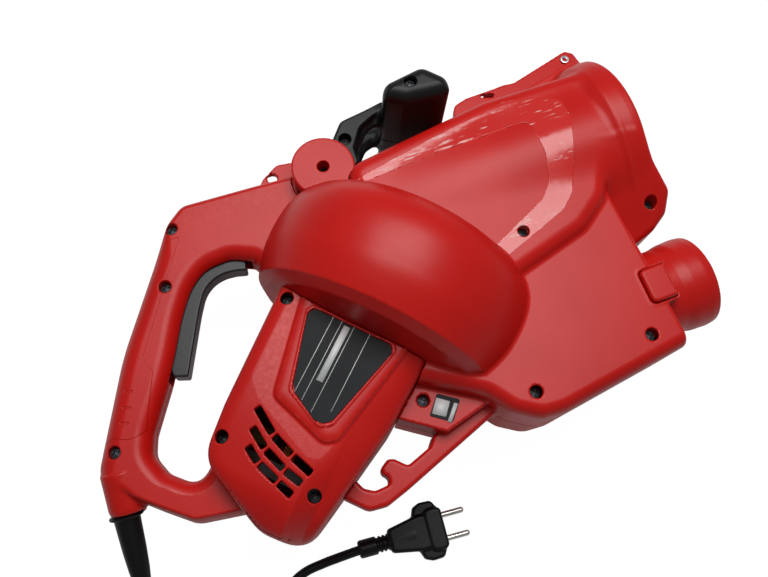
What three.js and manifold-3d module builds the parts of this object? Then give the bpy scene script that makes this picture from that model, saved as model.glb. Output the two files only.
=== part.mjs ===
// Corded garden blower and vacuum, power head only, lying on its far side.
// Millimetres. The two housing halves meet on a level plane, the split plane.
// +X runs along the air ducts towards their mouths, +Y towards the front handle, +Z up.
import * as THREE from 'three';
import { mergeVertices } from 'three/addons/utils/BufferGeometryUtils.js';
import Module from 'manifold-3d';

const wasm = await Module();
wasm.setup();

// ---------------------------------------------------------------- driving dimensions
const WALL = 2.8; // moulded wall thickness
const GAP = 0.3; // clearance left between touching pieces
const SPLIT_HEIGHT = 106; // split plane above the surface that the blower lies on
const FLOOR_CENTRE = { x: -2, y: -7 }; // middle of the machine in the drawing's plan coordinates

const MOTOR_TURN = THREE.MathUtils.degToRad(43); // motor axis, measured from +X in the split plane
const DRUM = { x: -21, y: -31 }; // fan drum centre on its motor-side rim
const SHAFT_OFFSET = 14; // motor axis beside the drum's own axis

const INLET = { y: 56, bore: 62, bodyY: 50 };
const OUTLET = { y: -79.5, mouth: 233, root: 34.3, lip: 36.5, bore: 31.5 };
const SHOULDER = { half: 52, bevel: 11 };
const CHAMBER = { half: 44, bevel: 10 };
const LUG_HALF = 30;
const GRIP = { half: 19, bevel: 5 };
const LOOP_HALF = 12;
const POCKET_HALF = 25;
const FLANGE_HALF = 5;
const COVER = { half: 54, bevel: 12, depth: 16 };
const COVER_FALL = { along: -95, height: 53, slope: 0.15 }; // where the cover's rear face starts to drop

const PIVOT = {
  x: -14, y: 97, disc: 24, stem: 9.6, boss: 14, face: 38, bolt: 2.8, armLow: 14.4, armHigh: 25.6,
};
const BAR = { half: 70, bevel: 6 };
const TRIGGER_HALF = 8;
const TRIGGER_PIN = { x: -101, y: 60, radius: 2.4 };

const LATCH = { floor: 34, low: 38, high: 47.5 };
const SHAFT = { radius: 4 };
const BEARING = { outer: 11 };
const VENT = { half: 2.7, rib: 1 }; // half of a slot's width, and half of the rib between two slots
const VENT_ROWS = [ // the line of each row, along the motor axis, across it
  [[-92.5, 45], [-104.9, 25.7], [-111.7, 7.8], [-116.6, -10]],
  [[-106, 41.5], [-115.5, 26.1], [-122.1, 8.3], [-125.2, -7]],
  [[-118.2, 38.6], [-125.6, 25.9], [-131, 8.8], [-134.8, -4.6]],
];

const SCREW = { head: 4, shank: 1.9, well: 4.6, depth: 9, length: 30 };
const HOUSING_SCREWS = [ // x, y, height of the face they are sunk into
  [104, -9, 51], [162, -112, 44], [66, -120, 42], [-138, 96, 19], [-155.7, 53.4, 19], [-224, -51, 19],
  [-8, -95, 25], [214, -16, 30],
];
const COVER_SCREWS = [[-75, 3.4, 48], [-148, -72, 40], [-103, -131, 40]];
const HANDLE_SCREW_AT = [67, 126];
const RIVET_AT = { x: 218, y: 135 };
const SWITCH_OUTLINE = [[-190, 15, 1], [-178, 8, 1], [-162, 36, 1], [-174, 43, 1]];
const CAPACITOR = { x: -211.5, y: -77 };
const TERMINAL_OUTLINE = [[-215.8, -39.6, 1], [-208.8, -27.4, 1], [-200.2, -32.4, 1], [-207.2, -44.6, 1]];
const GUARD = { neck: 7, flange: 9.4, collar: 12, root: 9.2, tip: 7.2, length: 44 };
const NOZZLE = { x: -229, y: -87.5, from: -26, to: 3, radius: 13.4 }; // round end of the handle
const CORD_RADIUS = 3.8;
const PLUG_OUTLINE = [
  [26, -6, 4], [26, 6, 4], [46, 21.5, 5], [64, 22, 5], [70, 15, 4], [70, -15, 4], [64, -22, 5],
  [46, -21.5, 5],
];

// ---------------------------------------------------------------- outlines, [x, y, corner radius]
const HANDLE_OUTER = [
  [-20, 109, 6], [-62, 112, 20], [-126, 115.5, 12], [-141, 104.5, 16], [-202, 16, 60], [-240.5, -58, 14],
  [-240.5, -71, 6], [-221, -86.5, 8], [-205, -101, 12], [-186, -117, 16], [-146, -124, 8], [-100, -90, 10],
  [-20, -20, 10],
];
const HANDLE_HOLE = [
  [-92, 58, 4], [-113, 60, 14], [-134, 52, 16], [-173, -11, 30], [-200, -56, 12], [-196, -73, 14],
  [-178, -89, 14], [-128, -90, 4], [-60, -10, 4],
];
const HANDLE_CAVITY = [
  [-64, 108, 2], [-124, 112, 10], [-138, 102.5, 13], [-199, 15, 57], [-237, -59, 11], [-237, -69, 4],
  [-219.5, -83, 6], [-204, -97.5, 9], [-185, -113, 13], [-163, -116, 3], [-160, -93, 3], [-180, -92, 15],
  [-199, -76, 15], [-203.5, -56, 12], [-176.5, -11, 30], [-137, 55, 18], [-114, 64, 15], [-98, 63, 3],
  [-64, 84, 3],
];
const TRIGGER_OUTLINE = [
  [-94, 54, 2], [-95.5, 48.6, 2], [-103, 51, 10], [-112, 52, 10], [-122, 49.6, 14], [-130, 42, 12],
  [-136.5, 30, 20], [-151, 3.5, 6], [-160, -15.2, 3], [-170, -12, 3], [-172, 0, 6], [-151, 36, 12],
  [-134, 60, 18], [-113, 68, 12],
  [-94, 66, 4],
];
const TRIGGER_WELL = [
  [-89, 53, 2], [-92, 43, 2], [-109, 47, 8], [-121, 44, 8], [-131, 33, 8], [-149, 3, 6],
  [-157, -18, 3], [-175, -15.5, 3], [-181, 4, 6], [-158, 42, 12], [-138, 68, 18], [-113, 75, 12],
  [-89, 72, 4],
];
const CHAMBER_OUTLINE = [
  [-40, -58, 14], [-8, -83, 20], [33, -109, 20], [46, -127, 20], [64, -139, 20], [82, -140.5, 20],
  [187, -127, 12], [181.5, 1, 3], [140, 20, 20], [20, 14, 20],
];
const SHOULDER_OUTLINE = [
  [0, 86, 16], [0, 0, 16], [40, -42, 20], [88, -38, 30], [150, -22, 24], [176, -4, 24], [196, 36, 30],
  [212, 74, 20], [204, 101, 18], [120, 102, 30],
];
const LUG_OUTLINE = [
  [160, -20, 4], [186, -42, 3], [213, -34.5, 8], [224, -27, 8], [230, -13, 8], [222, 14, 4], [216, 34, 4],
  [180, 40, 4],
];
const FLANGE_OUTLINE = [
  [60, 92, 3], [96, 112, 5], [107, 116, 4], [112, 127, 7], [124, 130, 6], [160, 131, 8], [168, 130, 6],
  [222, 143.5, 4], [228, 139, 3], [231, 124, 4], [205, 96, 4],
];
const POCKET_OUTLINE = [
  [-50, -80, 3], [-31, -100, 3], [7, -122, 3], [30, -124, 3], [45, -110, 3], [-5, -70, 3],
];
const LOOP_OUTLINE = [
  [46, -120, 3], [-22, -141, 8], [-52, -154, 8], [-68, -152.5, 8], [-92, -134, 3], [-84, -126, 3],
  [-74, -127, 3], [-66, -138, 6], [-50, -139, 3], [-52, -129, 3], [-43, -122, 4], [-29, -131, 3],
  [-12, -128, 4], [4, -114, 3], [40, -100, 3],
];
const EYELET_OUTLINE = [[-70, 106, 4], [-58, 119, 7], [-44, 127, 8], [-26, 124, 6], [-24, 104, 4]];
const EYELET_HOLE = { x: -51, y: 117, radius: 4 };
const COVER_OUTLINE = [ // along the motor axis, across it
  [30, 74, 14], [-100, 67, 60], [-139, 62, 26], [-165, 6, 30], [-163, -27, 22], [-62, -44, 60], [30, -48, 14],
];
const PLATEAU_OUTLINE = [ // raised middle of the motor cover, along the motor axis, across it
  [40, 62, 4], [-76, 58, 12], [-88.5, 44.5, 8], [-108.5, -2, 5], [-106, -9.5, 4], [-99, -12.5, 6],
  [-47, -23.4, 30], [40, -40, 4],
];
const PLATE_OUTLINE = [ // rating plate, along the motor axis, across it
  [-15, 40, 3], [-15, -19, 3], [-20, -22, 3], [-80, -6, 5], [-86, 2, 6], [-72, 28, 8], [-20, 43, 3],
];
const STICKER_OUTLINE = [[3, -94, 0.8], [17, -104, 0.8], [6, -117, 0.8], [-8, -107, 0.8]];
const ARM_OUTLINE = [
  [-14, 119, 4], [2, 121, 6], [14, 135, 8], [36, 138, 8], [52, 139, 6], [58, 132, 6], [60, 122, 6],
  [46, 123, 8], [33, 120, 8], [24, 112, 8], [17, 100, 6], [12, 94, 4], [-6, 90, 4],
];
const BAR_OUTLINE = [
  [43, 121, 6], [50, 133, 8], [82, 136.5, 9], [95, 121, 8], [93, 112, 6], [82, 112, 6], [60, 113, 8],
];
const LATCH_OUTLINE = [[173, -66, 5], [193.5, -66, 1.5], [193.5, -92, 1.5], [173, -92, 5]];

// Route of the mains lead: out of the guard, down to the floor, round and into the plug.
const CORD_ROUTE = [
  [-236.2, -131.5, -12.5], [-238, -146, -17.5], [-239, -162, -28], [-238, -178, -44], [-234, -192, -62],
  [-227, -203.5, -80], [-216.5, -212, -94], [-203, -215.5, -101], [-188, -213, -102], [-174, -204.5, -102],
  [-161, -192.5, -102], [-148, -181.5, -102], [-133, -175.6, -102], [-116, -174.6, -102],
  [-99, -175, -100], [-84.5, -175.6, -97.6],
];
const PLUG = { x: -82.9, y: -175.6, z: -97, turn: THREE.MathUtils.degToRad(-6.5), half: 9, spacing: 19 };

// ---------------------------------------------------------------- helpers
const AXIS_X = new THREE.Vector3(1, 0, 0);
const AXIS_Z = new THREE.Vector3(0, 0, 1);
const MOTOR_AXIS = new THREE.Vector3(Math.cos(MOTOR_TURN), Math.sin(MOTOR_TURN), 0);

/** Plan point at a distance along the motor axis and across it, from the drum centre. */
function motorPoint(along, across) {
  return [
    DRUM.x + along * MOTOR_AXIS.x - across * MOTOR_AXIS.y,
    DRUM.y + along * MOTOR_AXIS.y + across * MOTOR_AXIS.x,
  ];
}

/** Outline grown outwards about its own middle by a width on each side. */
function grown(points, width) {
  const middle = [0, 1].map((axis) => points.reduce((sum, p) => sum + p[axis], 0) / points.length);
  const shifted = (value, axis) => value + Math.sign(value - middle[axis]) * width;
  return points.map(([x, y, r]) => [shifted(x, 0), shifted(y, 1), r]);
}

const motorOutline = (points) => points.map(([along, across, r]) => [...motorPoint(along, across), r]);

/** Closed manifold body of a geometry, with shared vertices merged and slivers dropped. */
function solid(geometry) {
  const bare = geometry.index ? geometry.toNonIndexed() : geometry.clone();
  bare.deleteAttribute('normal');
  bare.deleteAttribute('uv');
  const merged = mergeVertices(bare, 1e-3);
  const corners = merged.index.array;
  const kept = [];
  for (let i = 0; i < corners.length; i += 3) {
    const [a, b, c] = [corners[i], corners[i + 1], corners[i + 2]];
    if (a !== b && b !== c && c !== a) kept.push(a, b, c);
  }
  const vertProperties = Float32Array.from(merged.attributes.position.array);
  const closed = (triangles) => {
    const triVerts = Uint32Array.from(triangles);
    return new wasm.Manifold(new wasm.Mesh({ numProp: 3, vertProperties, triVerts }));
  };
  const body = closed(kept);
  return body.volume() > 0 ? body : closed(kept.map((_, i) => kept[i - (i % 3) + [0, 2, 1][i % 3]]));
}

/** Outline whose corners are rounded by arcs of their own radius, or of a least one. */
function roundedShape(points, leastRadius = 0) {
  const shape = new THREE.Shape();
  const count = points.length;
  points.forEach(([x, y, ownRadius], i) => {
    const radius = Math.max(ownRadius, leastRadius);
    const corner = new THREE.Vector2(x, y);
    const before = new THREE.Vector2(...points[(i + count - 1) % count].slice(0, 2)).sub(corner);
    const after = new THREE.Vector2(...points[(i + 1) % count].slice(0, 2)).sub(corner);
    const cosine = before.dot(after) / before.length() / after.length();
    const half = Math.acos(THREE.MathUtils.clamp(cosine, -1, 1)) / 2;
    const reach = Math.min(radius / Math.tan(half), before.length() * 0.48, after.length() * 0.48);
    const start = before.clone().setLength(reach).add(corner);
    const end = after.clone().setLength(reach).add(corner);
    if (i === 0) shape.moveTo(start.x, start.y);
    else shape.lineTo(start.x, start.y);
    const steps = Math.max(1, Math.min(4, Math.round(((Math.PI - 2 * half) * radius) / 7)));
    for (let k = 1; k <= steps; k += 1) {
      const t = k / steps;
      const p = start.clone().multiplyScalar((1 - t) ** 2)
        .addScaledVector(corner, 2 * t * (1 - t)).addScaledVector(end, t * t);
      shape.lineTo(p.x, p.y);
    }
  });
  shape.closePath();
  return shape;
}

/** Outline moved inwards: each corner slides along its bisector, so that every edge shifts by the inset. */
function insetOutline(points, inset) {
  return points.map((corner, i) => {
    const before = corner.clone().sub(points[(i + points.length - 1) % points.length]).normalize();
    const after = points[(i + 1) % points.length].clone().sub(corner).normalize();
    const inward = new THREE.Vector2(-before.y - after.y, before.x + after.x);
    return corner.clone().addScaledVector(inward, (2 * inset) / inward.lengthSq());
  });
}

/** Upright prism of an outline between two heights; a rounded bevel draws both faces in by its width. */
function prism(outline, low, high, bevel = 0, drop = bevel, wall = 0) {
  const contour = roundedShape(outline, (bevel + wall) && bevel + wall + 1).getPoints(1);
  if (contour.at(-1).distanceTo(contour[0]) < 1e-6) contour.pop();
  if (THREE.ShapeUtils.isClockWise(contour)) contour.reverse();
  const steps = bevel > 6 ? 2 : 1;
  const levels = [];
  for (let k = 0; k <= (bevel ? steps : 0); k += 1) {
    const angle = (k / steps) * (Math.PI / 2);
    levels.push([drop * (1 - Math.cos(angle)), wall + bevel * (1 - Math.sin(angle))]);
  }
  const rings = levels.map(([rise, inset]) => [low + rise, inset]);
  levels.slice().reverse().forEach(([rise, inset]) => rings.push([high - rise, inset]));
  const positions = rings.flatMap(([z, inset]) =>
    insetOutline(contour, inset).flatMap((p) => [p.x, p.y, z]));
  const count = contour.length;
  const index = [];
  for (let ring = 0; ring < rings.length - 1; ring += 1) {
    for (let i = 0; i < count; i += 1) {
      const [a, b] = [ring * count + i, ring * count + ((i + 1) % count)];
      index.push(a, b, b + count, a, b + count, a + count);
    }
  }
  const top = (rings.length - 1) * count;
  for (const [a, b, c] of THREE.ShapeUtils.triangulateShape(contour, [])) {
    index.push(c, b, a, top + a, top + b, top + c);
  }
  const geometry = new THREE.BufferGeometry();
  geometry.setAttribute('position', new THREE.Float32BufferAttribute(positions, 3));
  geometry.setIndex(index);
  return solid(geometry);
}

/** Hollow inside a prism that stands evenly about the split plane. */
const hollow = (outline, half, bevel, drop = bevel) =>
  prism(outline, -half + WALL, half - WALL, bevel, drop, WALL);

/** Matrix that carries local Y to an axis through a point. */
function axisMatrix(point, axis) {
  const up = axis.clone().normalize();
  const side = Math.abs(up.z) < 0.9 ? AXIS_Z : AXIS_X;
  const x = new THREE.Vector3().crossVectors(up, side).normalize();
  const z = new THREE.Vector3().crossVectors(x, up);
  return new THREE.Matrix4().makeBasis(x, up, z).setPosition(...point);
}

/** Turned body: the profile is [distance along the axis, radius], closed onto the axis. */
function turned(profile, point, axis, segments = 32) {
  const ends = [[profile[0][0], 0], ...profile, [profile.at(-1)[0], 0]];
  const points = ends.map(([along, radius]) => new THREE.Vector2(radius, along));
  const geometry = new THREE.LatheGeometry(points, segments);
  return solid(geometry.applyMatrix4(axisMatrix(point, axis)));
}

/** Turned ring: the profile is a closed loop that stays clear of the axis. */
function turnedRing(profile, point, axis, segments = 32) {
  const points = [...profile, profile[0]].map(([along, radius]) => new THREE.Vector2(radius, along));
  return solid(new THREE.LatheGeometry(points, segments).applyMatrix4(axisMatrix(point, axis)));
}

const rod = (from, to, radius, point, axis, segments) =>
  turned([[from, radius], [to, radius]], point, axis, segments);
const collar = (from, to, inner, outer, point, axis, segments) =>
  turnedRing([[from, inner], [to, inner], [to, outer], [from, outer]], point, axis, segments);

/** Box between two corners. */
function block(low, high) {
  const size = high.map((value, i) => value - low[i]);
  const geometry = new THREE.BoxGeometry(...size);
  geometry.translate(...low.map((value, i) => value + size[i] / 2));
  return solid(geometry);
}

/** Box whose length follows the motor axis: ranges along it, across it and in height. */
function motorBlock(along, across, height) {
  const corners = [[0, 0], [1, 0], [1, 1], [0, 1]];
  const outline = corners.map(([i, j]) => [along[i], across[j], 0]);
  return prism(motorOutline(outline), height[0], height[1]);
}

/** Round bar that follows a smooth curve through the points. */
function bar(points, radius, sides = 10, steps = points.length * 3) {
  const path = new THREE.CatmullRomCurve3(points.map((p) => new THREE.Vector3(...p)), false, 'centripetal');
  const section = new THREE.Shape();
  for (let i = 0; i < sides; i += 1) {
    const angle = (i / sides) * 2 * Math.PI;
    const at = [radius * Math.cos(angle), radius * Math.sin(angle)];
    if (i === 0) section.moveTo(...at);
    else section.lineTo(...at);
  }
  section.closePath();
  const options = { steps, bevelEnabled: false, extrudePath: path, curveSegments: 1 };
  return new THREE.ExtrudeGeometry(section, options);
}

const united = (bodies) => bodies.reduce((whole, next) => whole.add(next));
const cut = (body, tools) => tools.reduce((rest, tool) => rest.subtract(tool), body);
const FAR_REACH = 400;
const layer = (low, high) => block([-FAR_REACH, -FAR_REACH, low], [FAR_REACH, FAR_REACH, high]);
const nearHalf = (body) => body.intersect(layer(GAP / 2, FAR_REACH));
const farHalf = (body) => body.intersect(layer(-FAR_REACH, -GAP / 2));

// ---------------------------------------------------------------- finishes
const finish = (color, roughness, metalness = 0) =>
  new THREE.MeshStandardMaterial({ color, roughness, metalness });
const FINISH = {
  redShell: finish('#c4302b', 0.5),
  blackPlastic: finish('#26282b', 0.55),
  triggerPlastic: finish('#3a3f44', 0.5),
  steel: finish('#b9bcc0', 0.3, 1),
  lamination: finish('#6d7074', 0.45, 1),
  copper: finish('#b06a3a', 0.35, 1),
  brass: finish('#b8963e', 0.3, 1),
  nylon: finish('#343231', 0.6),
  carbon: finish('#2b2b2b', 0.8),
  impellerPlastic: finish('#2e3033', 0.6),
  plateFoil: finish('#3b3d40', 0.45),
  cordRubber: finish('#1b1b1d', 0.6),
  pinMetal: finish('#c9cac8', 0.25, 1),
};

const machine = new THREE.Group();
machine.position.set(-FLOOR_CENTRE.x, -FLOOR_CENTRE.y, SPLIT_HEIGHT);

/** Adds one named piece to the machine. */
function addPiece(name, shape, material) {
  let geometry = shape;
  if (!(shape instanceof THREE.BufferGeometry)) {
    const { vertProperties, triVerts } = shape.getMesh();
    geometry = new THREE.BufferGeometry();
    geometry.setAttribute('position', new THREE.BufferAttribute(vertProperties, 3));
    geometry.setIndex(new THREE.BufferAttribute(triVerts, 1));
    geometry.computeVertexNormals();
  }
  const mesh = new THREE.Mesh(geometry, material);
  mesh.name = name;
  machine.add(mesh);
}

// ---------------------------------------------------------------- housing halves
const drumPoint = [DRUM.x, DRUM.y, 0];
const shaftPoint = [...motorPoint(0, SHAFT_OFFSET), 0];
const ductPoint = [0, INLET.bodyY, 0];
const inletPoint = [0, INLET.y, 0];
const outletPoint = [0, OUTLET.y, 0];

// Fan drum, [along its axis, radius]: a shallow cone on the motor side, a full round crown.
const DRUM_PROFILE = [
  [-12, 40], [-11.5, 66], [-7, 88], [-2, 96], [2, 98.5], [8, 101], [20, 104.5], [38, 106], [54, 105],
  [66, 101.5], [76, 94.5], [83, 85], [88, 71], [91, 50],
];
const DRUM_CAVITY = [
  [-8.5, 40], [-8, 66], [-4, 85], [1, 94], [10, 98], [22, 101.4], [38, 103], [53, 102], [64, 98.8], [73, 92],
  [80, 82.5], [85, 69], [88, 48],
];
const drumOut = turned(DRUM_PROFILE, drumPoint, MOTOR_AXIS, 40);
const drumIn = turned(DRUM_CAVITY, drumPoint, MOTOR_AXIS, 32);

const ductOut = turned([[20, 51], [110, 57], [200, 61.5], [206, 65]], ductPoint, AXIS_X, 36);
const RIM_PROFILE = [[192, 58], [203, 65.5], [214, 67], [219.5, 67], [221, 65.8]];
const inletOut = turned(RIM_PROFILE, inletPoint, AXIS_X, 36);
const shoulderOut = prism(SHOULDER_OUTLINE, -SHOULDER.half, SHOULDER.half, SHOULDER.bevel, 9);
const chamberOut = prism(CHAMBER_OUTLINE, -CHAMBER.half, CHAMBER.half, CHAMBER.bevel, 12);
const TUBE_PROFILE = [
  [150, OUTLET.root], [206, OUTLET.root], [214, OUTLET.lip - 0.6], [226, OUTLET.lip],
  [OUTLET.mouth, OUTLET.lip - 0.8],
];
const outletOut = turned(TUBE_PROFILE, outletPoint, AXIS_X, 32);

const ductIn = turned([[30, 50], [110, 54], [196, 58.2], [200, 58.4]], ductPoint, AXIS_X, 28)
  .subtract(drumOut);
const mouthIn = turned([[197, 50], [204, INLET.bore], [245, INLET.bore]], inletPoint, AXIS_X, 32);
const CHAMBER_CAVITY = [
  [-22, -52, 12], [-3, -79, 16], [36, -106, 20], [62, -134, 26], [82, -136.5, 20], [181, -124.5, 10],
  [181, -42, 10], [60, -40, 12],
];
const chamberIn = prism(CHAMBER_CAVITY, -CHAMBER.half + WALL, CHAMBER.half - WALL, 8, 10).subtract(drumOut);
const outletIn = rod(170, 240, OUTLET.bore, outletPoint, AXIS_X, 28);
const suctionEye = rod(70, 118, 40, shaftPoint, MOTOR_AXIS, 28);
const scrollMouth = prism(
  motorOutline([[8, -60, 2], [66, -60, 2], [66, -120, 2], [8, -120, 2]]), -36, 36, 4,
);

const gripOut = prism(HANDLE_OUTER, -GRIP.half, GRIP.half, GRIP.bevel);
const gripHole = prism(HANDLE_HOLE, -60, 60);
const gripIn = prism(HANDLE_CAVITY, -GRIP.half + WALL, GRIP.half - WALL, 3);
const cordDirection = new THREE.Vector3(-0.107, -0.957, -0.273);
const cordExit = [-231.3, -87.5, 0];
const cordNozzle = rod(NOZZLE.from, NOZZLE.to, NOZZLE.radius, [NOZZLE.x, NOZZLE.y, 0], cordDirection, 24);
const triggerWell = prism(TRIGGER_WELL, -TRIGGER_HALF - 1.2, TRIGGER_HALF + 1.2);
const flange = prism(FLANGE_OUTLINE, -FLANGE_HALF, FLANGE_HALF, 1);
const eyeletHole = rod(-5, 5, EYELET_HOLE.radius, [EYELET_HOLE.x, EYELET_HOLE.y, 0], AXIS_Z, 20);
const eyelet = prism(EYELET_OUTLINE, -3, 3).subtract(eyeletHole);
const pocket = prism(POCKET_OUTLINE, -POCKET_HALF, POCKET_HALF);
const loop = prism(LOOP_OUTLINE, -LOOP_HALF, LOOP_HALF, 3);
const lug = prism(LUG_OUTLINE, -LUG_HALF, LUG_HALF, 3);
const sideHollows = united([
  hollow(SHOULDER_OUTLINE, SHOULDER.half, SHOULDER.bevel, 9), hollow(LUG_OUTLINE, LUG_HALF, 3),
  hollow(POCKET_OUTLINE, POCKET_HALF, 0),
]).subtract(drumOut);

// Motor casing outline, and the room that the housing halves leave for it.
const coverOut = prism(motorOutline(COVER_OUTLINE), -COVER.half, COVER.half, COVER.bevel, COVER.depth);
const coverRoom = prism(
  motorOutline(COVER_OUTLINE.map(([along, across, r]) => [
    along < -60 ? along - GAP * 1.5 : along, across + Math.sign(across - SHAFT_OFFSET) * GAP * 1.5, r,
  ])),
  -COVER.half - GAP, COVER.half + GAP, COVER.bevel, COVER.depth,
);

// Places where the handle's arms swing, beside the housing.
const pivotPoint = [PIVOT.x, PIVOT.y, 0];
const armRoomTop = PIVOT.armHigh + 2 * GAP;
const armRoom = united([[PIVOT.boss, armRoomTop], [-armRoomTop, -PIVOT.boss]].map(([low, high]) =>
  rod(low, high, PIVOT.disc + 1.4, pivotPoint, AXIS_Z, 28)));

const guardHole = rod(-12, 20, GUARD.neck + 0.4, cordExit, cordDirection, 20)
  .add(rod(-12, -5.6, GUARD.flange + 0.4, cordExit, cordDirection, 20));

const bearingTower = rod(-21, -9, BEARING.outer + 3.5, shaftPoint, MOTOR_AXIS, 16);
const airPath = united([sideHollows, drumIn, ductIn, mouthIn, chamberIn, outletIn, suctionEye, scrollMouth]);
const grip = gripOut.subtract(gripHole).add(cordNozzle).subtract(gripIn);
const ducts = [ductOut, inletOut, shoulderOut, chamberOut, outletOut];
const casing = united([bearingTower, grip, drumOut, ...ducts, flange, eyelet, lug, pocket, loop]);

/** Plain hole for a screw with a wider well for its head, sunk from the near face. */
function screwWell([x, y, face]) {
  const seat = face - SCREW.depth;
  const well = rod(seat, 90, SCREW.well, [x, y, 0], AXIS_Z, 12);
  return well.add(rod(-90, seat + 1, SCREW.shank + 0.4, [x, y, 0], AXIS_Z, 6));
}

/** Pillar that holds a screw between the two halves. */
const screwBoss = ([x, y, face]) => rod(-face + 1.5, face - 1.5, SCREW.well + 2, [x, y, 0], AXIS_Z, 12);

const latchSeat = prism(grown(LATCH_OUTLINE, 2.4), 31, 43.5);
const latchPocket = prism(grown(LATCH_OUTLINE, 0.5), LATCH.floor, 90);
const triggerPinPoint = [TRIGGER_PIN.x, TRIGGER_PIN.y, 0];
const triggerPinSeat = rod(-11.4, 11.4, TRIGGER_PIN.radius + GAP, triggerPinPoint, AXIS_Z, 16);
const rivetHole = rod(-10, 10, 2.9, [RIVET_AT.x, RIVET_AT.y, 0], AXIS_Z, 16);
const pivotBoss = rod(-PIVOT.boss, PIVOT.boss, PIVOT.disc - 1, pivotPoint, AXIS_Z, 28);
const boltHole = rod(-40, 40, PIVOT.bolt + 0.3, pivotPoint, AXIS_Z, 16);
const bearingSeat = rod(-40, -11.8, BEARING.outer + 0.3, shaftPoint, MOTOR_AXIS, 16);
const shaftHole = rod(-20, 10, 6, shaftPoint, MOTOR_AXIS, 20);

const wholeShell = united([
  casing.subtract(airPath), latchSeat.subtract(outletIn), pivotBoss, ...HOUSING_SCREWS.map(screwBoss),
]);
const shell = cut(wholeShell, [
  coverRoom.subtract(drumOut).subtract(bearingTower), triggerWell, guardHole, bearingSeat, shaftHole, armRoom,
  latchPocket, boltHole, triggerPinSeat, rivetHole, ...HOUSING_SCREWS.map(screwWell),
]);
addPiece('housing_near', nearHalf(shell), FINISH.redShell);
addPiece('housing_far', farHalf(shell), FINISH.redShell);

// ---------------------------------------------------------------- motor covers and the rating plate
const drumRoomProfile = DRUM_PROFILE.map(([along, radius]) =>
  [along + Math.sign(along - 45) * GAP, radius + GAP]);
const drumRoom = turned(drumRoomProfile, drumPoint, MOTOR_AXIS, 40);
const coverInner = COVER_OUTLINE.map(([along, across, r]) => [along + (along < -100 ? WALL : 0),
  across - Math.sign(across - SHAFT_OFFSET) * WALL, r]);
const coverInHalf = COVER.half - WALL;
const coverIn = prism(motorOutline(coverInner), -coverInHalf, coverInHalf, COVER.bevel, COVER.depth);
const plateauUp = prism(motorOutline(PLATEAU_OUTLINE), 0, FAR_REACH);

/** What stands above the cover's rear face, which drops towards the rear end, at a depth below it. */
function aboveRearFace(depth) {
  const [front, rear] = [60, -200];
  const height = COVER_FALL.height - depth;
  const rearHeight = height - COVER_FALL.slope * (COVER_FALL.along - rear);
  const corners = [
    [front, height], [COVER_FALL.along, height], [rear, rearHeight], [rear, FAR_REACH], [front, FAR_REACH],
  ];
  const side = new THREE.Shape(corners.map((corner) => new THREE.Vector2(...corner)));
  const across = new THREE.Vector3().crossVectors(MOTOR_AXIS, AXIS_Z);
  const place = new THREE.Matrix4().makeBasis(MOTOR_AXIS, AXIS_Z, across);
  place.setPosition(...motorPoint(0, 100), 0);
  const options = { depth: 200, bevelEnabled: false };
  const above = solid(new THREE.ExtrudeGeometry(side, options).applyMatrix4(place));
  return depth ? above : above.subtract(plateauUp);
}

const bothSides = (body) => [body, body.mirror([0, 0, 1])];
const coverSolid = cut(coverOut, bothSides(aboveRearFace(0)));
const coverRoomInside = cut(coverIn, bothSides(aboveRearFace(WALL)));
const plateRim = prism(motorOutline(grown(PLATE_OUTLINE, 3.5)), COVER.half - 3, COVER.half + 1.6, 1)
  .subtract(prism(motorOutline(grown(PLATE_OUTLINE, GAP)), COVER.half, 90));

/** Cooling slot between two points of a row, less half a rib at each end. */
function ventSlot(from, to) {
  const way = new THREE.Vector2(to[0] - from[0], to[1] - from[1]).normalize();
  const corner = ([along, across], end, side) => [
    along + way.x * end * VENT.rib - way.y * side * VENT.half,
    across + way.y * end * VENT.rib + way.x * side * VENT.half,
    1,
  ];
  const corners = [corner(from, 1, -1), corner(to, -1, -1), corner(to, -1, 1), corner(from, 1, 1)];
  return prism(motorOutline(corners), 20, 90);
}

const vents = VENT_ROWS.flatMap((row) => row.slice(1).map((to, i) => ventSlot(row[i], to)));
const coverScrewWells = COVER_SCREWS.map(screwWell);
const coverShell = coverSolid.subtract(coverRoomInside).subtract(drumRoom);
const coverNear = cut(nearHalf(coverShell).add(plateRim), [drumRoom, ...coverScrewWells, ...vents]);
addPiece('motor_cover_near', coverNear, FINISH.redShell);
addPiece('motor_cover_far', cut(farHalf(coverShell), coverScrewWells), FINISH.redShell);
const ratingPlate = prism(motorOutline(PLATE_OUTLINE), COVER.half + GAP, COVER.half + 1);
addPiece('rating_plate', ratingPlate, FINISH.plateFoil);
addPiece('data_sticker', prism(STICKER_OUTLINE, POCKET_HALF + GAP, POCKET_HALF + 0.7), FINISH.plateFoil);

// ---------------------------------------------------------------- rotor
const onShaft = (from, to, inner, outer, segments) =>
  collar(from, to, inner, outer, shaftPoint, MOTOR_AXIS, segments);
const shaftTurn = (angle) => new THREE.Matrix4()
  .multiply(new THREE.Matrix4().makeTranslation(...shaftPoint))
  .multiply(new THREE.Matrix4().makeRotationAxis(MOTOR_AXIS, angle))
  .multiply(new THREE.Matrix4().makeTranslation(...shaftPoint.map((value) => -value)));
const rotated = (body, angle) => body.transform(shaftTurn(angle).elements);

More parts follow.
